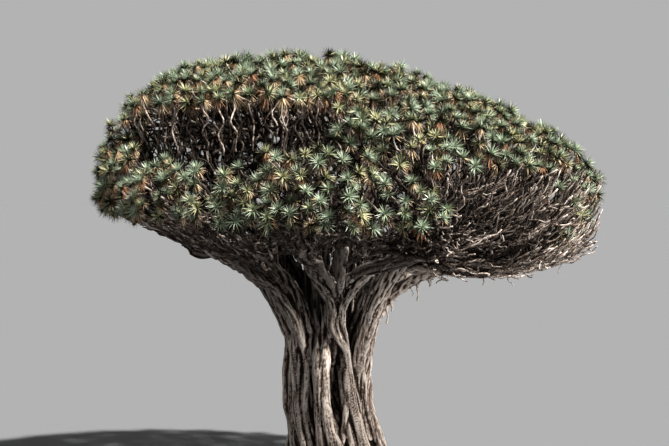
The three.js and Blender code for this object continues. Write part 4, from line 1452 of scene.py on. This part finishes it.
def leafPieces(segments, paths):
    rng = np.random.default_rng(rosette["seed"])
    ending = np.array([segment.tips == 1 and not segment.bare for segment in segments])
    hearts = paths[ending][:, -1]
    headings = unit(paths[ending][:, -1] - paths[ending][:, -3])
    headings = unit(headings + 0.18 * rng.normal(size=headings.shape))
    scales = rng.uniform(0.82, 1.16, len(hearts))
    kindNames = list(leafKinds)
    straw, rust, dead = (kindNames.index(name) for name in ("straw", "rust", "dead"))
    # each rosette takes one green, and its oldest leaves may be straw
    green = rng.choice(4, len(hearts), p=[0.42, 0.28, 0.22, 0.08])
    leaves = rosette["leaves"]
    base, direction, side, share, size = fan(hearts, headings, scales, leaves,
                                             rosette["upright"], rosette["spread"], rng)
    length = rosette["length"] * size * (0.78 + 0.3 * np.sin(np.pi * np.minimum(1, 0.25 + 0.6 * share)))
    length *= rng.uniform(0.88, 1.1, len(length))
    width = rosette["width"] * size * rng.uniform(0.85, 1.15, len(length))
    sag = rosette["droop"] * (0.3 + share) * rng.uniform(0.4, 1.8, len(length))
    # a leaf is now and then of another green, and most of the lowest leaves take the near-black kind as
    # painted shade
    step = rng.choice([-1, 0, 1], len(length), p=[0.2, 0.6, 0.2])
    kind = np.clip(np.repeat(green, leaves) + step, 0, 3)
    kind = np.where(rng.random(len(length)) < smooth(share, 0.22, 0.76), 3, kind)
    aged = np.repeat(rng.random(len(hearts)) < 0.4, leaves) & (share > rng.uniform(0.72, 0.95, len(share)))
    kind = np.where(aged, straw, kind)
    towardsLeft = np.maximum(0, -hearts[:, 0] / crown["reach"])
    turned = np.degrees(np.arctan2(hearts[:, 1], hearts[:, 0])) % 360
    window, place = gaps["window"], rosette["skirtWindow"]
    overWindow = ((turned > window["from"] - 8) & (turned < window["to"] + 12)
                  & (hearts[:, 2] > place["low"]) & (hearts[:, 2] < place["high"]))
    chance = rosette["skirtShare"] + rosette["skirtLeft"] * towardsLeft
    skirted = overWindow | (rng.random(len(hearts)) < chance)
    skirtLeaves = rosette["skirtLeaves"]
    dryBase, dryDirection, drySide, dryShare, drySize = fan(
        hearts[skirted], headings[skirted], scales[skirted], skirtLeaves,
        rosette["skirtFrom"], rosette["skirtTo"], rng)
    dryKind = np.repeat(rng.choice([straw, rust, dead], skirted.sum(), p=[0.36, 0.38, 0.26]), skirtLeaves)
    longer = np.repeat(np.where(overWindow[skirted], 1.2, 0.95), skirtLeaves)
    dryLength = longer * rosette["length"] * drySize * rng.uniform(0.7, 1.1, len(dryShare))
    drySag = rng.uniform(0.2, 0.6, len(dryShare))
    allBase = np.concatenate([base, dryBase])
    allDirection = np.concatenate([direction, dryDirection])
    allSide = np.concatenate([side, drySide])
    allLength = np.concatenate([length, dryLength])
    allWidth = np.concatenate([width, rosette["width"] * drySize])
    allSag = np.concatenate([sag, drySag])
    allKind = np.concatenate([kind, dryKind])
    most = 32000  # leaves in one piece
    for k, name in enumerate(kindNames):
        material = leafFinish(name)
        chosen = np.flatnonzero(allKind == k)
        for part in range(0, len(chosen), most):
            pick = chosen[part:part + most]
            vertices, triangles = blades(allBase[pick], allDirection[pick], allSide[pick],
                                         allLength[pick], allWidth[pick], allSag[pick])
            makePiece(f"leaves_{name}_{part // most + 1}", vertices, triangles, material,
                      foliageNodes, smoothFaces=False)


bark = barkFinish("trunkBark")
twigBark = barkFinish("twigBark")
skinPieces(bark)
limbPiece(bark)
stout = [segment for segment in grown if segment.tips > 3]
slim = [segment for segment in grown if segment.tips <= 3]
twigPieces(stout, "branches", 9, 6, twigBark, 1)
slimPaths = twigPieces(slim, "twigs", 6, 4, twigBark, 2)
halfWay = len(staveTwigs) // 2
for number, part in enumerate((staveTwigs[:halfWay], staveTwigs[halfWay:])):
    twigPieces(part, f"staves_{number + 1}", 7, 4, twigBark, 8 + number,
               streamShade, staves["wiggle"], onUnderside)
twigPieces(thicketTwigs, "thicket", 5, 3, twigBark, 12)
twigPieces(stemTwigs, "stems", 12, 5, twigBark, 13, stemShade, stems["wiggle"])
leafPieces(slim, slimPaths)


# Stage: a pale floor, a sky as bright as it at the horizon and darker overhead, a high sun and a low one
stage = {
    "floorRadius": 400,
    "horizon": 0.45, "overhead": 0.08,  # brightness of the sky
    "horizonTop": 0.11, "overheadFrom": 0.34,  # sines of the elevations between which it changes
    "sunColour": (1.0, 0.965, 0.91),
    "sun": {"azimuth": 329, "elevation": 52, "strength": 11.4, "spread": 3},
    "lowLight": {"azimuth": 336, "elevation": 11, "strength": 3.0, "spread": 10},
}


def addSun(name):
    looks = stage[name]
    sun = bpy.data.lights.new(name, "SUN")
    sun.energy = looks["strength"]
    sun.angle = math.radians(looks["spread"])
    sun.color = stage["sunColour"]
    lamp = bpy.data.objects.new(name, sun)
    bpy.context.scene.collection.objects.link(lamp)
    elevation = math.radians(looks["elevation"])
    towards = polar(math.radians(looks["azimuth"]), math.cos(elevation), math.sin(elevation))
    lamp.rotation_euler = Vector(towards).to_track_quat("Z", "Y").to_euler()


def makeStage():
    count = 96
    turn = 2 * np.pi * np.arange(count) / count
    out = stage["floorRadius"]
    rim = np.stack([out * np.cos(turn), out * np.sin(turn), 0 * turn - 0.002], axis=1)
    mesh = bpy.data.meshes.new("floor")
    mesh.from_pydata(rim.tolist(), [], [list(range(count))])
    floor = bpy.data.objects.new("floor", mesh)
    bpy.context.scene.collection.objects.link(floor)
    finish = Finish("floorPaint")
    # what the floor sends back is its colour times (suns * sin(elevation) / pi + sky)
    fromSun = sum(stage[name]["strength"] * math.sin(math.radians(stage[name]["elevation"])) / math.pi
                  for name in ("sun", "lowLight"))
    middle = 0.5 * (stage["horizonTop"] + stage["overheadFrom"])
    fromSky = stage["overhead"] + (stage["horizon"] - stage["overhead"]) * middle**2
    colour = [stage["horizon"] / (fromSun * sun + fromSky) for sun in stage["sunColour"]]
    finish.set("Base Color", (*colour, 1))
    finish.set("Roughness", 1.0)
    finish.set("Specular IOR Level", 0.0)
    floor.data.materials.append(finish.material)
    addSun("sun")
    addSun("lowLight")
    world = bpy.data.worlds.new("sky")
    world.use_nodes = True
    nodes, links = world.node_tree.nodes, world.node_tree.links
    direction = nodes.new("ShaderNodeTexCoord")
    parts = nodes.new("ShaderNodeSeparateXYZ")
    change = nodes.new("ShaderNodeMapRange")
    for slot, value in zip(change.inputs[1:5], (stage["horizonTop"], stage["overheadFrom"],
                                                stage["horizon"], stage["overhead"])):
        slot.default_value = value
    links.new(direction.outputs["Generated"], parts.inputs[0])
    links.new(parts.outputs[2], change.inputs[0])
    links.new(change.outputs[0], nodes["Background"].inputs[0])
    bpy.context.scene.world = world
    bpy.context.scene.view_settings.view_transform = "Standard"


# Camera: level with the lower crown, a long way off, in the photo's frame
view = {"place": (-0.2, -62.0, 13.0), "target": (-0.2, 0.0, 10.5), "lens": 86.4}


def makeCamera():
    camera = bpy.data.cameras.new("camera")
    camera.lens = view["lens"]
    camera.sensor_width = 36
    camera.clip_end = 2000
    holder = bpy.data.objects.new("camera", camera)
    bpy.context.scene.collection.objects.link(holder)
    holder.location = view["place"]
    look = Vector(view["target"]) - Vector(view["place"])
    holder.rotation_euler = look.to_track_quat("-Z", "Y").to_euler()
    bpy.context.scene.camera = holder


makeStage()
makeCamera()
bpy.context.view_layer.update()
print("done")
